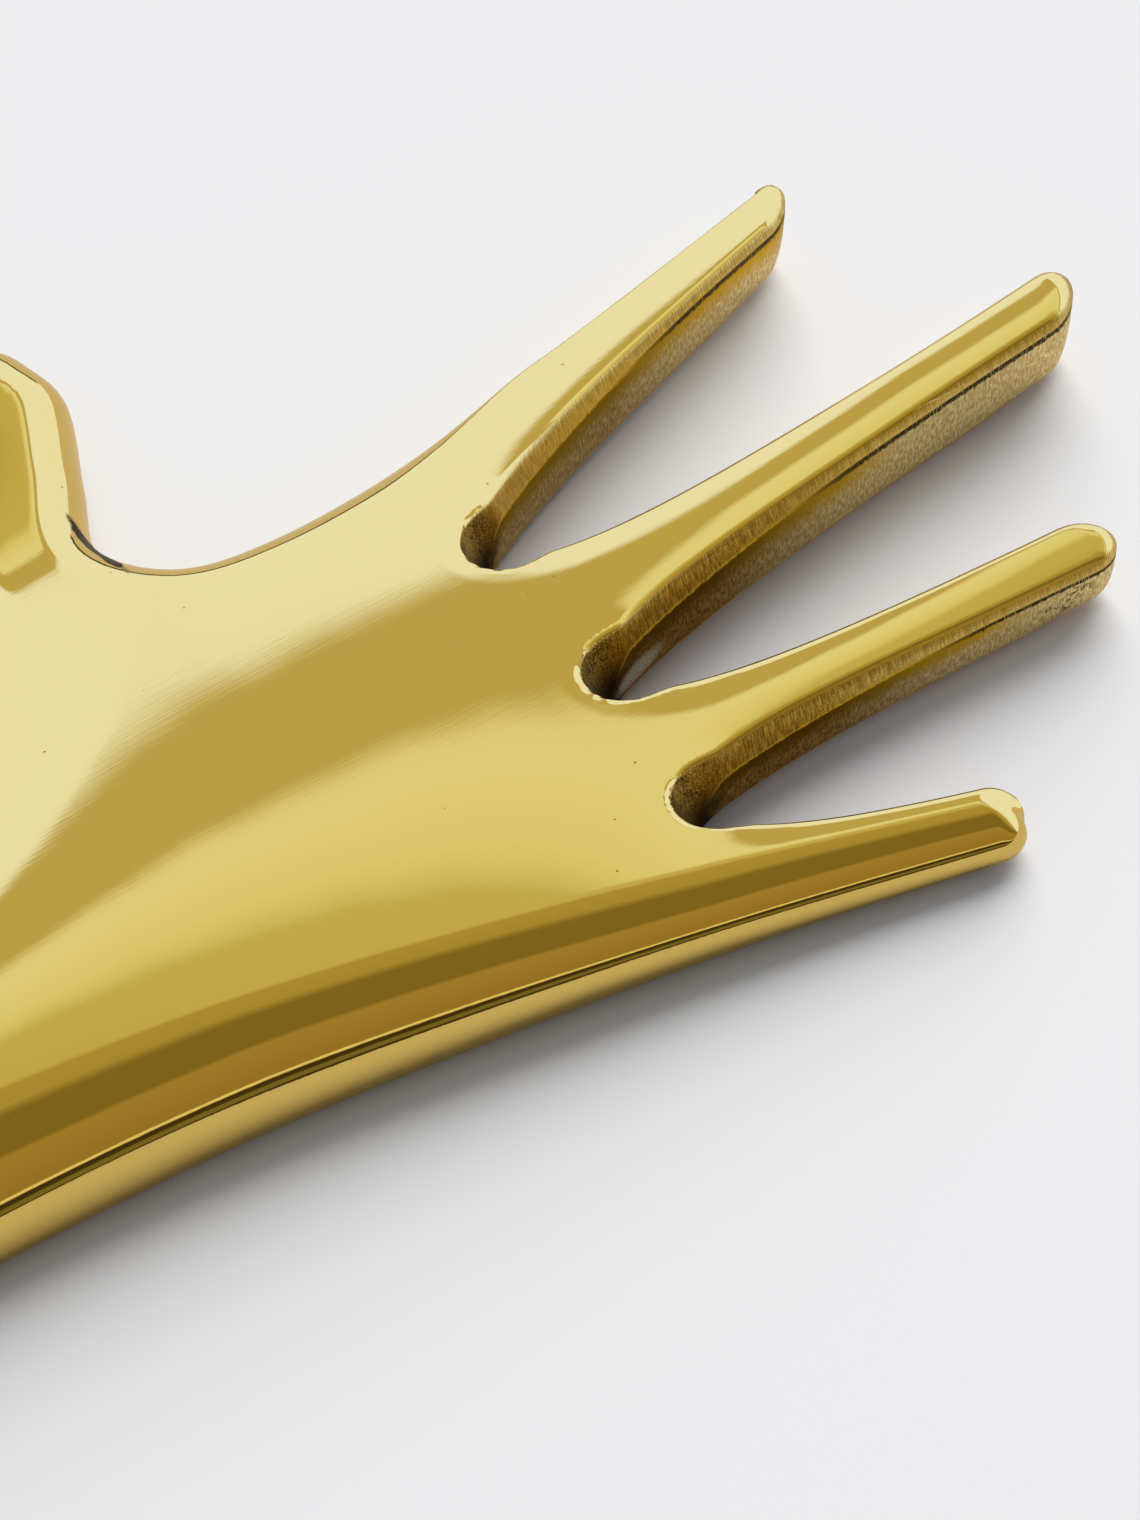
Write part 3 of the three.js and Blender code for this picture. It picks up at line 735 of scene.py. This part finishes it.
def inward(loop_points):
    run = np.roll(loop_points, -1, axis=0) - np.roll(loop_points, 1, axis=0)
    run = run / np.linalg.norm(run, axis=1)[:, None]
    return np.column_stack([-run[:, 1], run[:, 0]])


loop_inward = inward(plan[loop])
in_gap = 1.0 - smoothstep(surface["from_filed"][loop], *GAP_WALL_REACH)
row = loop
for drop in np.linspace(0.0, 1.0, WALL_ROWS + 1)[1:]:
    inset = surface["undercut"][loop] * (1.0 - math.sqrt(1.0 - drop**2))
    ground = plan[loop] + loop_inward * inset[:, None]
    heights = lerp(tops[loop], STAND_OFF, drop)
    positions.append(np.column_stack([ground, heights]))
    marks["filed"].append(surface["filed"][loop] + in_gap * (tops[loop] - heights))
    marks["wall"].append(in_gap * drop)
    for name in ("from_web", "gap_along"):
        marks[name].append(surface[name][loop])
    lower = sum(len(block) for block in positions[:-1]) + np.arange(len(loop))
    quads = np.stack([row, lower, np.roll(lower, -1), np.roll(row, -1)], -1)
    faces.extend(quads.tolist())
    row = lower
faces.append(row[::-1].tolist())
print("outline of", len(loop), "points, walls of", WALL_ROWS, "rows")

# %% [markdown]
# ## The casting as an object
# The points and faces become one mesh, with the finish's values stored on its points. The polish runs
# over the whole hand, so the shading is smooth, and only the crease of the filed walls and the underside
# stay sharp.

# %% Casting object
MILLIMETRE = 0.001
SHARP_CREASE = math.radians(50)

casting_mesh = bpy.data.meshes.new("hand_brass")
casting_mesh.from_pydata((np.concatenate(positions) * MILLIMETRE).tolist(), [], faces)
for name, values in marks.items():
    layer = casting_mesh.attributes.new(name, "FLOAT", "POINT")
    layer.data.foreach_set("value", np.concatenate(values).astype(np.float32))
casting_mesh.validate()
casting_mesh.shade_smooth()
casting_mesh.set_sharp_from_angle(angle=SHARP_CREASE)
casting = add_object("hand_brass", casting_mesh)
print("casting:", len(casting_mesh.vertices), "points,", len(casting_mesh.polygons), "faces")

# %% [markdown]
# ## Polished brass
# The casting was buffed on its top and its outer sides, which left fine lines and a slight waviness,
# while the finger gaps were only filed. It is one piece of metal, so one material holds both: the values
# kept on the mesh say where the file went, how far down a wall a point lies and how far it is from a web.
# Those masks and the noise patterns come first. Noise that runs along a gap gives marks that follow its
# bend.

# %% Masks and patterns of the brass
BRASS = (0.85, 0.68, 0.22, 1.0)
FILE_MARKS_PER_MM, BRUSH_LINES_PER_MM = 7.0, 5.0
FILE_SLANT, BRUSH_SLANT = 0.12, 0.25
GRAINS_PER_M, SPECKLES_PER_M, BLOTCHES_PER_M = 2600.0, 6500.0, 700.0
FILED_START, FILED_WANDER = (0.1, 0.35), 0.2
WALL_START, TIP_LIGHT_REACH = (0.005, 0.03), (12.0, 36.0)
INDEX_WALL_Y = (0.0168, 0.0186)

brass, brass_shader, metal = new_finish("polished_brass")
place = metal.node("ShaderNodeTexCoord", output="Object")


def mark(name):
    return metal.node("ShaderNodeAttribute", {"attribute_name": name}, output="Fac")


def noise(scale, detail=2.0, vector=place):
    return metal.node("ShaderNodeTexNoise", None, {"Vector": vector, "Scale": scale, "Detail": detail})


def gap_noise(per_mm, slant):
    along_gap = metal.node(
        "ShaderNodeCombineXYZ", None, {"X": mark("gap_along"), "Y": mark("filed") * slant}
    )
    return noise(per_mm, 3.0, along_gap)


def spot(centre, size):
    """Distance from a place on the casting, 1 at the edge of an ellipsoid."""
    offset = metal.node(
        "ShaderNodeMapping", {"vector_type": "TEXTURE"}, {"Vector": place, "Location": centre, "Scale": size}
    )
    return metal.node("ShaderNodeVectorMath", {"operation": "LENGTH"}, {0: offset}, output="Value")


file_marks = gap_noise(FILE_MARKS_PER_MM, FILE_SLANT)
brush_lines = gap_noise(BRUSH_LINES_PER_MM, BRUSH_SLANT)
grain = noise(GRAINS_PER_M, 3.0)
speckle = noise(SPECKLES_PER_M, 2.0)
blotch = noise(BLOTCHES_PER_M, 4.0)
wall = mark("wall")
from_web = mark("from_web")
filed_depth = mark("filed")
filed = (filed_depth + (file_marks - 0.5) * FILED_WANDER).step(*FILED_START)
on_wall = wall.step(*WALL_START)
# Share towards the fingertips, where facets and walls get a painted reflection of the lit paper and turn more
# metallic.
tipward = from_web.step(*TIP_LIGHT_REACH)
place_y = metal.node("ShaderNodeSeparateXYZ", None, {"Vector": place}, output="Y")
on_index = place_y.step(*INDEX_WALL_Y)
print("brass masks:", len(brass.node_tree.nodes), "nodes")

# %% [markdown]
# ## The filed walls
# The file left hair-fine marks across the upper facet and a crease under it, which is a painted highlight
# near the webs and a thin dark line near the tips. Below the crease the wall kept an amber skin from the
# mould. Towards the desk it turns dull brown, with brushed lines. Deep in a gap the facet's brown is
# painted shade of the narrow gap, and the wall's dark tones are partly its skin and partly that painted
# shade. Towards the fingertips both turn bright, the wall to a tan, as a painted reflection of the lit
# paper. The index finger's facet and wall are lighter all along. Separate strips of material would show
# their borders, so the colours are laid over each other with soft, uneven edges.

# %% Filed walls
# Facet brown is painted shade of the narrow gap; the tip facet tones are a painted reflection of the lit
# paper.
FACET_BROWN, FACET_GOLD = (0.24, 0.15, 0.02, 1.0), (0.72, 0.52, 0.14, 1.0)
TIP_FACET_BROWN, TIP_FACET_GOLD = (0.6, 0.46, 0.12, 1.0), (0.9, 0.72, 0.26, 1.0)
# Wall tones are partly the skin of the mould and partly painted shade of the gap; tip tones are a painted
# reflection.
WALL_AMBER, TIP_AMBER = (0.12, 0.058, 0.0, 1.0), (0.75, 0.48, 0.01, 1.0)
WALL_UMBER, WALL_BROWN = (0.12, 0.062, 0.012, 1.0), (0.37, 0.21, 0.05, 1.0)
TIP_BROWN, TIP_TAN = (0.62, 0.45, 0.17, 1.0), (1.0, 0.9, 0.5, 1.0)
CREASE_HIGHLIGHT, CREASE_BLACK = (0.8, 0.5, 0.02, 1.0), (0.05, 0.035, 0.01, 1.0)
EDGE_GOLD = (0.72, 0.46, 0.09, 1.0)
INDEX_FACET_LIGHTER, INDEX_WALL_LIGHTER, TIP_CREASE_SHARE = 0.85, 0.3, 0.05
TIP_REFLECTION_REACH, DARK_CREASE_REACH = (28.0, 36.0), (20.0, 30.0)
LOWER_WALL, WALL_EDGE, FOOT_GOLD_SHARE = (0.15, 0.6), (0.93, 0.97), 0.8

facet_light = (file_marks * 0.7 + speckle * 0.3).step(0.36, 0.66)
# Facets brighten towards the tips as a painted reflection, and on the index finger all along.
facet_brightening = metal.math("MAXIMUM", tipward, on_index * INDEX_FACET_LIGHTER)
facet_colour = facet_brightening.blend(
    facet_light.blend(FACET_BROWN, FACET_GOLD), facet_light.blend(TIP_FACET_BROWN, TIP_FACET_GOLD)
)
brush_light = (brush_lines * 0.55 + grain * 0.25 + speckle * 0.2).step(0.38, 0.62)
wall_fall = (wall + (brush_lines - 0.5) * 0.4 + (blotch - 0.5) * 0.3).step(*LOWER_WALL)
# Walls brighten towards the tips as a painted reflection, and a little on the index finger.
wall_brightening = metal.math("MAXIMUM", tipward, on_index * INDEX_WALL_LIGHTER)
tip_wall_reflection = brush_light.blend(TIP_BROWN, TIP_TAN)
# Near the tips the upper wall takes the painted reflection tones, except on the index finger.
tip_reflection_share = from_web.step(*TIP_REFLECTION_REACH) * (1.0 - on_index)
upper_wall = tip_reflection_share.blend(wall_brightening.blend(WALL_AMBER, TIP_AMBER), tip_wall_reflection)
lower_wall = wall_brightening.blend(brush_light.blend(WALL_UMBER, WALL_BROWN), tip_wall_reflection)
wall_colour = wall_fall.blend(upper_wall, lower_wall)
# The crease is gold near the webs, a painted highlight, and a dark line towards the tips.
dark_crease = from_web.step(*DARK_CREASE_REACH)
uneven_wall = wall + (speckle - 0.5) * 0.05
crease_end = (uneven_wall - dark_crease * TIP_CREASE_SHARE + (grain - 0.5) * 0.1).step(0.085, 0.05)
crease = uneven_wall.step(-0.005, 0.01) * crease_end * file_marks.step(0.25, 0.5)
wall_colour = crease.blend(wall_colour, dark_crease.blend(CREASE_HIGHLIGHT, CREASE_BLACK))
# A thin gold line runs along the foot of each gap wall.
wall_colour = (wall.step(*WALL_EDGE) * FOOT_GOLD_SHARE).blend(wall_colour, EDGE_GOLD)
filed_colour = on_wall.blend(facet_colour, wall_colour)
print("filed walls:", len(brass.node_tree.nodes), "nodes")

# %% [markdown]
# ## Webs, tarnish, pits and pin holes
# No file reaches into the webs, so they kept the rough skin of the mould: gold and brown specks, with a
# streak of green tarnish in the middle one. In the deepest corner a web turns nearly black, which is
# painted shade. The end of the ring finger has a few dark casting pits. The polished top has brown pin
# holes, in loose groups and round the webs, and the bend of the thumb holds a dark streak that is a
# painted reflection. The tarnish, pits and pin holes are too shallow to change the outline, so they
# belong to the finish and not to the mesh. Each mark is placed by its distance from a named spot or from
# a web, or by cells of noise.

# %% Webs and marks
WEB_BROWN, WEB_GOLD = (0.1, 0.068, 0.012, 1.0), (0.62, 0.45, 0.1, 1.0)
WEB_SHADE_AND_PIT_BLACK, TARNISH = (0.03, 0.018, 0.004, 1.0), (0.5, 0.52, 0.42, 1.0)
PIN_BROWN, STREAK_DARK_REFLECTION = (0.34, 0.2, 0.03, 1.0), (0.03, 0.022, 0.01, 1.0)
TARNISH_PLACE, TARNISH_SIZE = (0.0432, 0.0022, 0.003), (0.0036, 0.0014, 0.0013)
PITS_PLACE, PITS_SIZE = (0.0742, -0.0125, 0.0035), (0.0032, 0.0022, 0.0022)
STREAK_PLACE, STREAK_SIZE = (0.0148, 0.0345, 0.0), (0.00055, 0.0046, 1.0)
PINS_PER_M, PIN_GROUPS_PER_M = 420.0, 70.0
WEB_REACH, WEB_SHADE_DEPTH, PIN_WEB_REACH = (5.2, 2.4), (1.6, 4.6), (16.0, 7.0)

in_web = (from_web + (blotch - 0.5) * 3.0).step(*WEB_REACH) * filed
web_colour = (speckle * 0.7 + blotch * 0.3).step(0.4, 0.6).blend(WEB_BROWN, WEB_GOLD)
# Deep in the web the colour goes nearly black: painted shade. The same black serves the real casting pits.
web_painted_shade = (filed_depth + (blotch - 0.5) * 3.0 + (speckle - 0.5) * 2.0).step(*WEB_SHADE_DEPTH)
web_colour = web_painted_shade.blend(web_colour, WEB_SHADE_AND_PIT_BLACK)
filed_colour = in_web.blend(filed_colour, web_colour)
tarnish = spot(TARNISH_PLACE, TARNISH_SIZE).step(1.3, 0.5) * speckle.step(0.3, 0.55) * filed
filed_colour = tarnish.blend(filed_colour, TARNISH)
pits = spot(PITS_PLACE, PITS_SIZE).step(1.1, 0.3) * (grain + blotch - 0.5).step(0.42, 0.34) * filed
filed_colour = pits.blend(filed_colour, WEB_SHADE_AND_PIT_BLACK)

pin_cells = {"Vector": place, "Scale": PINS_PER_M}
pin_distance = metal.node("ShaderNodeTexVoronoi", None, pin_cells, output="Distance")
pin_pick = metal.node("ShaderNodeTexVoronoi", None, pin_cells, output="Color")
pin_pick = metal.node("ShaderNodeSeparateColor", None, {"Color": pin_pick})
round_web = from_web.step(*PIN_WEB_REACH)
pin_groups = metal.math("MAXIMUM", noise(PIN_GROUPS_PER_M).step(0.42, 0.6), round_web)
pins = pin_distance.step(0.06, 0.02) * pin_pick.step(0.4, 0.7) * pin_groups
# The dark streak in the bend of the thumb is a painted dark reflection.
streak = (spot(STREAK_PLACE, STREAK_SIZE) + blotch - 0.5).step(1.1, 0.85)
top_colour = streak.blend(pins.blend(BRASS, PIN_BROWN), STREAK_DARK_REFLECTION)
colour = filed.blend(top_colour, filed_colour)
print("webs and marks:", len(brass.node_tree.nodes), "nodes")

# %% [markdown]
# ## Gloss and relief of the brass
# Buffing leaves a mirror with faint lines along the fingers, and the hand of the polisher leaves waves
# that make the reflections swim a little. The filed walls are duller, and their skin isn't bare metal any
# more, so the metallic value falls there. The relief is shallow: it breaks up the highlights and keeps
# the shape.

# %% Gloss and relief
POLISH_ALONG, POLISH_ACROSS, WAVES_PER_M = 160.0, 5200.0, 75.0
POLISH_DEPTH, WAVE_DEPTH, FILE_DEPTH = 0.0000007, 0.000015, 0.00005
MIRROR, LINES_DULL, PINS_DULL, STREAK_DULL = 0.02, 0.03, 0.2, 0.4
FACET_DULL, WALL_DULL = 0.26, 0.16
SKIN_SHARE, SKIN_TIP_FADE = 0.8, 0.7

polish_map = metal.node(
    "ShaderNodeMapping", None, {"Vector": place, "Scale": (POLISH_ALONG, POLISH_ACROSS, POLISH_ACROSS)}
)
polish_lines = noise(1.0, 2.0, polish_map)
waves = noise(WAVES_PER_M, 1.0)
skin = filed * on_wall * (1.0 - SKIN_TIP_FADE * tipward)
roughness = MIRROR + polish_lines.step(0.55, 0.8) * LINES_DULL + pins * PINS_DULL + streak * STREAK_DULL
roughness = roughness + filed * (FACET_DULL + on_wall * WALL_DULL)


def relief(height, depth, below=None):
    sockets = {"Strength": 1.0, "Distance": depth, "Height": height}
    if below:
        sockets["Normal"] = below
    return metal.node("ShaderNodeBump", None, sockets)


rough_height = filed * (file_marks * 0.5 + on_wall * (brush_lines * 0.5 + grain * 0.5) + in_web * speckle)
polish_relief = relief(polish_lines, POLISH_DEPTH)
wave_relief = relief(waves, WAVE_DEPTH, polish_relief)
brass_finish = {
    "Base Color": colour,
    "Roughness": roughness,
    "Metallic": 1.0 - skin * SKIN_SHARE,
    "Normal": relief(rough_height, FILE_DEPTH, wave_relief),
}
feed(brass_shader, brass_finish)
brass_shader.inputs["Specular IOR Level"].default_value = 0.0
casting_mesh.materials.append(brass)
print("brass finish with", len(brass.node_tree.nodes), "nodes")

# %% [markdown]
# ## The felt pad
# A weight like this stands on felt, glued under the palm, so that the brass doesn't scratch the desk. The
# pad is one flat sheet, cut by hand with scissors, so its outline wanders a little. First comes that
# outline: four corners, rounded, with a small wave along the cut.

# %% Outline of the felt
PAD_LENGTH, PAD_WRIST_WIDTH, PAD_KNUCKLE_WIDTH, PAD_CORNER = 62.0, 20.0, 34.0, 6.0
CORNER_POINTS, SIDE_POINTS = 12, 60
CUT_WANDER, CUT_WAVES = 0.06, (9.0, 23.0)

half_length = PAD_LENGTH / 2.0
pad_corners = np.array([
    (-half_length, -PAD_WRIST_WIDTH / 2.0), (half_length, -PAD_KNUCKLE_WIDTH / 2.0),
    (half_length, PAD_KNUCKLE_WIDTH / 2.0), (-half_length, PAD_WRIST_WIDTH / 2.0),
])


def towards(start, end, distance):
    return start + distance * (end - start) / np.linalg.norm(end - start)


pad_loop = []
corners_before = np.roll(pad_corners, 1, axis=0)
corners_after = np.roll(pad_corners, -1, axis=0)
for corner, before, after in zip(pad_corners, corners_before, corners_after):
    enter, leave = towards(corner, before, PAD_CORNER), towards(corner, after, PAD_CORNER)
    share = np.linspace(0.0, 1.0, CORNER_POINTS)[:, None]
    pad_loop.append(lerp(lerp(enter, corner, share), lerp(corner, leave, share), share))
    side_shares = np.linspace(0.0, 1.0, SIDE_POINTS)[1:-1, None]
    pad_loop.append(lerp(leave, towards(after, corner, PAD_CORNER), side_shares))
pad_loop = np.concatenate(pad_loop)
turns_round = np.linspace(0.0, 2.0 * np.pi, len(pad_loop), endpoint=False)
wander = CUT_WANDER * sum(np.sin(waves_round * turns_round) for waves_round in CUT_WAVES)
pad_loop = pad_loop + inward(pad_loop) * (wander + 2.0 * CUT_WANDER)[:, None]
ring_next = np.roll(pad_loop, -1, axis=0)
pad_area = abs((pad_loop[:, 0] * ring_next[:, 1] - pad_loop[:, 1] * ring_next[:, 0]).sum()) / 2.0
print("felt outline:", len(pad_loop), "points, area", round(pad_area, 1), "square millimetres")

# %% [markdown]
# ## The felt sheet
# Pressed felt has soft edges. A plain extruded outline would show two hard ones, so the outline is laid
# in rows that draw in at the desk and at the brass and leave a shallow hollow half way up, where the
# sheet is pressed. Each row is an inset and a height in millimetres.

# %% Felt sheet
PAD_ROWS = [(0.2, 0.0), (0.06, 0.08), (0.0, 0.24), (0.03, 0.4), (0.0, 0.56), (0.06, 0.72), (0.2, STAND_OFF)]
SHARP_FELT = math.radians(60)

pad_count = len(pad_loop)
pad_points = np.concatenate([
    np.column_stack([pad_loop + inward(pad_loop) * inset, np.full(pad_count, height)])
    for inset, height in PAD_ROWS
])
around = np.arange(pad_count)
pad_faces = [around[::-1].tolist(), (around + pad_count * (len(PAD_ROWS) - 1)).tolist()]
for row_start in pad_count * np.arange(len(PAD_ROWS) - 1):
    low_row = around + row_start
    high_row = low_row + pad_count
    pad_faces += np.stack([low_row, np.roll(low_row, -1), np.roll(high_row, -1), high_row], -1).tolist()
felt_mesh = bpy.data.meshes.new("felt_pad")
felt_mesh.from_pydata((pad_points * MILLIMETRE).tolist(), [], pad_faces)
felt_mesh.shade_smooth()
felt_mesh.set_sharp_from_angle(angle=SHARP_FELT)
felt_pad = add_object("felt_pad", felt_mesh)
print("felt sheet:", len(felt_mesh.vertices), "points")

# %% [markdown]
# ## Felt
# Felt is a mat of fibres without a weave: dark grey-green, dull, and mottled where the dye took unevenly.
# Noise at three sizes gives the mottling, the tufts and the single fibres, and a constant sheen stands
# for the fine hairs that catch the light at the edge.

# %% Felt finish
FELT_DARK, FELT_LIGHT = (0.02, 0.026, 0.022, 1.0), (0.05, 0.06, 0.052, 1.0)
FELT_HAIR = (0.1, 0.11, 0.095, 1.0)
MOTTLE_PER_M, TUFTS_PER_M, HAIRS_PER_M = 240.0, 1500.0, 5200.0
FELT_DEPTH, FELT_SHEEN, FELT_SHINE = 0.0002, 0.35, 0.1

felt, felt_shader, fibre = new_finish("pressed_felt")
felt_place = fibre.node("ShaderNodeTexCoord", output="Object")


def felt_noise(scale):
    return fibre.node("ShaderNodeTexNoise", None, {"Vector": felt_place, "Scale": scale, "Detail": 3.0})


mottle, tufts, hairs = felt_noise(MOTTLE_PER_M), felt_noise(TUFTS_PER_M), felt_noise(HAIRS_PER_M)
felt_colour = (mottle * 0.5 + tufts * 0.5).step(0.35, 0.65).blend(FELT_DARK, FELT_LIGHT)
felt_finish = {
    "Base Color": hairs.step(0.58, 0.72).blend(felt_colour, FELT_HAIR),
    "Roughness": 0.85 + tufts * 0.15,
    "Normal": fibre.node(
        "ShaderNodeBump", None, {"Strength": 1.0, "Distance": FELT_DEPTH, "Height": tufts * 0.6 + hairs * 0.4}
    ),
}
feed(felt_shader, felt_finish)
felt_shader.inputs["Sheen Weight"].default_value = FELT_SHEEN
felt_shader.inputs["Specular IOR Level"].default_value = FELT_SHINE
felt_mesh.materials.append(felt)
print("felt finish with", len(felt.node_tree.nodes), "nodes")

# %% [markdown]
# ## Fuzz on the cut edge
# Where the scissors went, short fibres stand out of the felt. There are hundreds of them, so Geometry
# Nodes scatter them. A particle system could do it too, but it wouldn't be exported. The tree starts with
# its named inputs, so that the fuzz can be made longer, thicker or denser without touching a node.

# %% Inputs of the fuzz
HAIR_CLEARANCE = 0.02

fuzz_tree = bpy.data.node_groups.new("felt_fuzz", "GeometryNodeTree")
fuzz_tree.interface.new_socket("Felt", in_out="INPUT", socket_type="NodeSocketGeometry")
FUZZ_INPUTS = {
    "Hairs per square metre": ("NodeSocketFloat", 7.0e6),
    "Hair length": ("NodeSocketFloat", 0.00042),
    "Hair radius": ("NodeSocketFloat", 0.000013),
    "Lowest": ("NodeSocketFloat", HAIR_CLEARANCE * MILLIMETRE),
    "Highest": ("NodeSocketFloat", (STAND_OFF - HAIR_CLEARANCE) * MILLIMETRE),
    "Seed": ("NodeSocketInt", 7),
    "Finish": ("NodeSocketMaterial", felt),
}
fuzz_sockets = {
    name: fuzz_tree.interface.new_socket(name, in_out="INPUT", socket_type=kind)
    for name, (kind, _) in FUZZ_INPUTS.items()
}
fuzz_tree.interface.new_socket("Fuzz", in_out="OUTPUT", socket_type="NodeSocketGeometry")
tree = Wire(fuzz_tree)
fuzz_input = fuzz_tree.nodes.new("NodeGroupInput")
given = {socket.name: Wire(fuzz_tree, socket) for socket in fuzz_input.outputs if socket.name}
print("fuzz inputs:", ", ".join(FUZZ_INPUTS))

# %% [markdown]
# ## One hair
# A hair of felt is a short bent fibre, thinner than a hair on a head. It could be a hair curve, but those
# aren't exported either, so a bent curve is given a three-sided section. There are so many that each has
# to stay a mesh of a few faces.

# %% Hair
HAIR_LEAN, HAIR_RISE, HAIR_KNEE = 0.5, 0.8, 0.6
HAIR_STEPS, HAIR_SIDES = 4, 3

hair_length = given["Hair length"]
hair_tip = tree.node(
    "ShaderNodeCombineXYZ", None, {"X": hair_length * HAIR_LEAN, "Z": hair_length * HAIR_RISE}
)
hair_bend = tree.node("ShaderNodeCombineXYZ", None, {"Z": hair_length * HAIR_KNEE})
hair_path = tree.node(
    "GeometryNodeCurveQuadraticBezier",
    None,
    {"Resolution": HAIR_STEPS, "Start": (0.0, 0.0, 0.0), "Middle": hair_bend, "End": hair_tip},
)
hair_ring = tree.node(
    "GeometryNodeCurvePrimitiveCircle", None, {"Resolution": HAIR_SIDES, "Radius": given["Hair radius"]}
)
hair = tree.node(
    "GeometryNodeCurveToMesh", None, {"Curve": hair_path, "Profile Curve": hair_ring, "Fill Caps": True}
)
print("a hair has", HAIR_STEPS, "steps and", HAIR_SIDES, "sides")

# %% [markdown]
# ## Scattering the hairs
# The hairs stand only on the cut side of the sheet, so the points are kept to faces that look sideways.
# Each hair is turned at random, and a clamp holds all of it between the desk and the brass, which real
# fibres can't pass either.

# %% Nodes for the fuzz
SIDE_FACING, HAIR_SWAY = 0.6, 0.7

facing = tree.node("GeometryNodeInputNormal")
facing_up = tree.node("ShaderNodeSeparateXYZ", None, {0: facing}, output="Z")
on_side = tree.math("LESS_THAN", tree.math("ABSOLUTE", facing_up), SIDE_FACING)
scatter = {
    "Mesh": given["Felt"],
    "Selection": on_side,
    "Density": given["Hairs per square metre"],
    "Seed": given["Seed"],
}
hair_points = tree.node("GeometryNodeDistributePointsOnFaces", None, scatter, output="Points")
hair_turns = Wire(fuzz_tree, hair_points.socket.node.outputs["Rotation"])
hairs_placed = tree.node(
    "GeometryNodeInstanceOnPoints", None, {"Points": hair_points, "Instance": hair, "Rotation": hair_turns}
)
random_turn = tree.node(
    "FunctionNodeRandomValue",
    {"data_type": "FLOAT_VECTOR"},
    {
        0: (-HAIR_SWAY, -HAIR_SWAY, 0.0),
        1: (HAIR_SWAY, HAIR_SWAY, 2.0 * math.pi),
        "Seed": given["Seed"],
    },
)
hairs_turned = tree.node(
    "GeometryNodeRotateInstances", None, {"Instances": hairs_placed, "Rotation": random_turn}
)
hairs_real = tree.node("GeometryNodeRealizeInstances", None, {"Geometry": hairs_turned})
hair_place = tree.node("GeometryNodeInputPosition")
hair_x = tree.node("ShaderNodeSeparateXYZ", None, {0: hair_place}, output="X")
hair_y, hair_z = (Wire(fuzz_tree, hair_x.socket.node.outputs[axis]) for axis in "YZ")
held_z = tree.math("MINIMUM", tree.math("MAXIMUM", hair_z, given["Lowest"]), given["Highest"])
held_place = tree.node("ShaderNodeCombineXYZ", None, {"X": hair_x, "Y": hair_y, "Z": held_z})
hairs_held = tree.node("GeometryNodeSetPosition", None, {"Geometry": hairs_real, "Position": held_place})
fuzz_made = tree.node("GeometryNodeSetMaterial", None, {"Geometry": hairs_held, "Material": given["Finish"]})
fuzz_output = fuzz_tree.nodes.new("NodeGroupOutput")
feed(fuzz_output, {"Fuzz": fuzz_made})
print("fuzz tree with", len(fuzz_tree.nodes), "nodes")

# %% [markdown]
# ## From nodes to a mesh
# The tree runs on a second object that shares the felt sheet's mesh, so the sheet itself stays as it is.
# The result is taken as a plain mesh, because only meshes are exported, and the second object is thrown
# away with its modifier.

# %% Make the fuzz
fuzz_maker = add_object("fuzz_maker", felt_mesh)
fuzz_modifier = fuzz_maker.modifiers.new("felt_fuzz", "NODES")
fuzz_modifier.node_group = fuzz_tree
for name, (_, value) in FUZZ_INPUTS.items():
    fuzz_modifier[fuzz_sockets[name].identifier] = value
fuzz_evaluated = fuzz_maker.evaluated_get(bpy.context.evaluated_depsgraph_get())
fuzz_mesh = bpy.data.meshes.new_from_object(fuzz_evaluated)
fuzz_maker.modifiers.clear()
bpy.data.objects.remove(fuzz_maker)
felt_fuzz = add_object("felt_fuzz", fuzz_mesh)
print("fuzz:", len(fuzz_mesh.polygons), "faces")

# %% [markdown]
# ## Attaching the pieces
# Nothing on the paperweight moves, so every piece rides on the one body of the frame. The brass and the
# felt sheet stand for their CAD solids, which are hidden.

# %% Attach the pieces
for piece, slot in ((casting, "brass"), (felt_pad, "felt"), (felt_fuzz, "felt")):
    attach(piece, "root")
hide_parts("hand_casting")
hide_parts("palm_felt_pad")
pad_area * MILLIMETRE**2
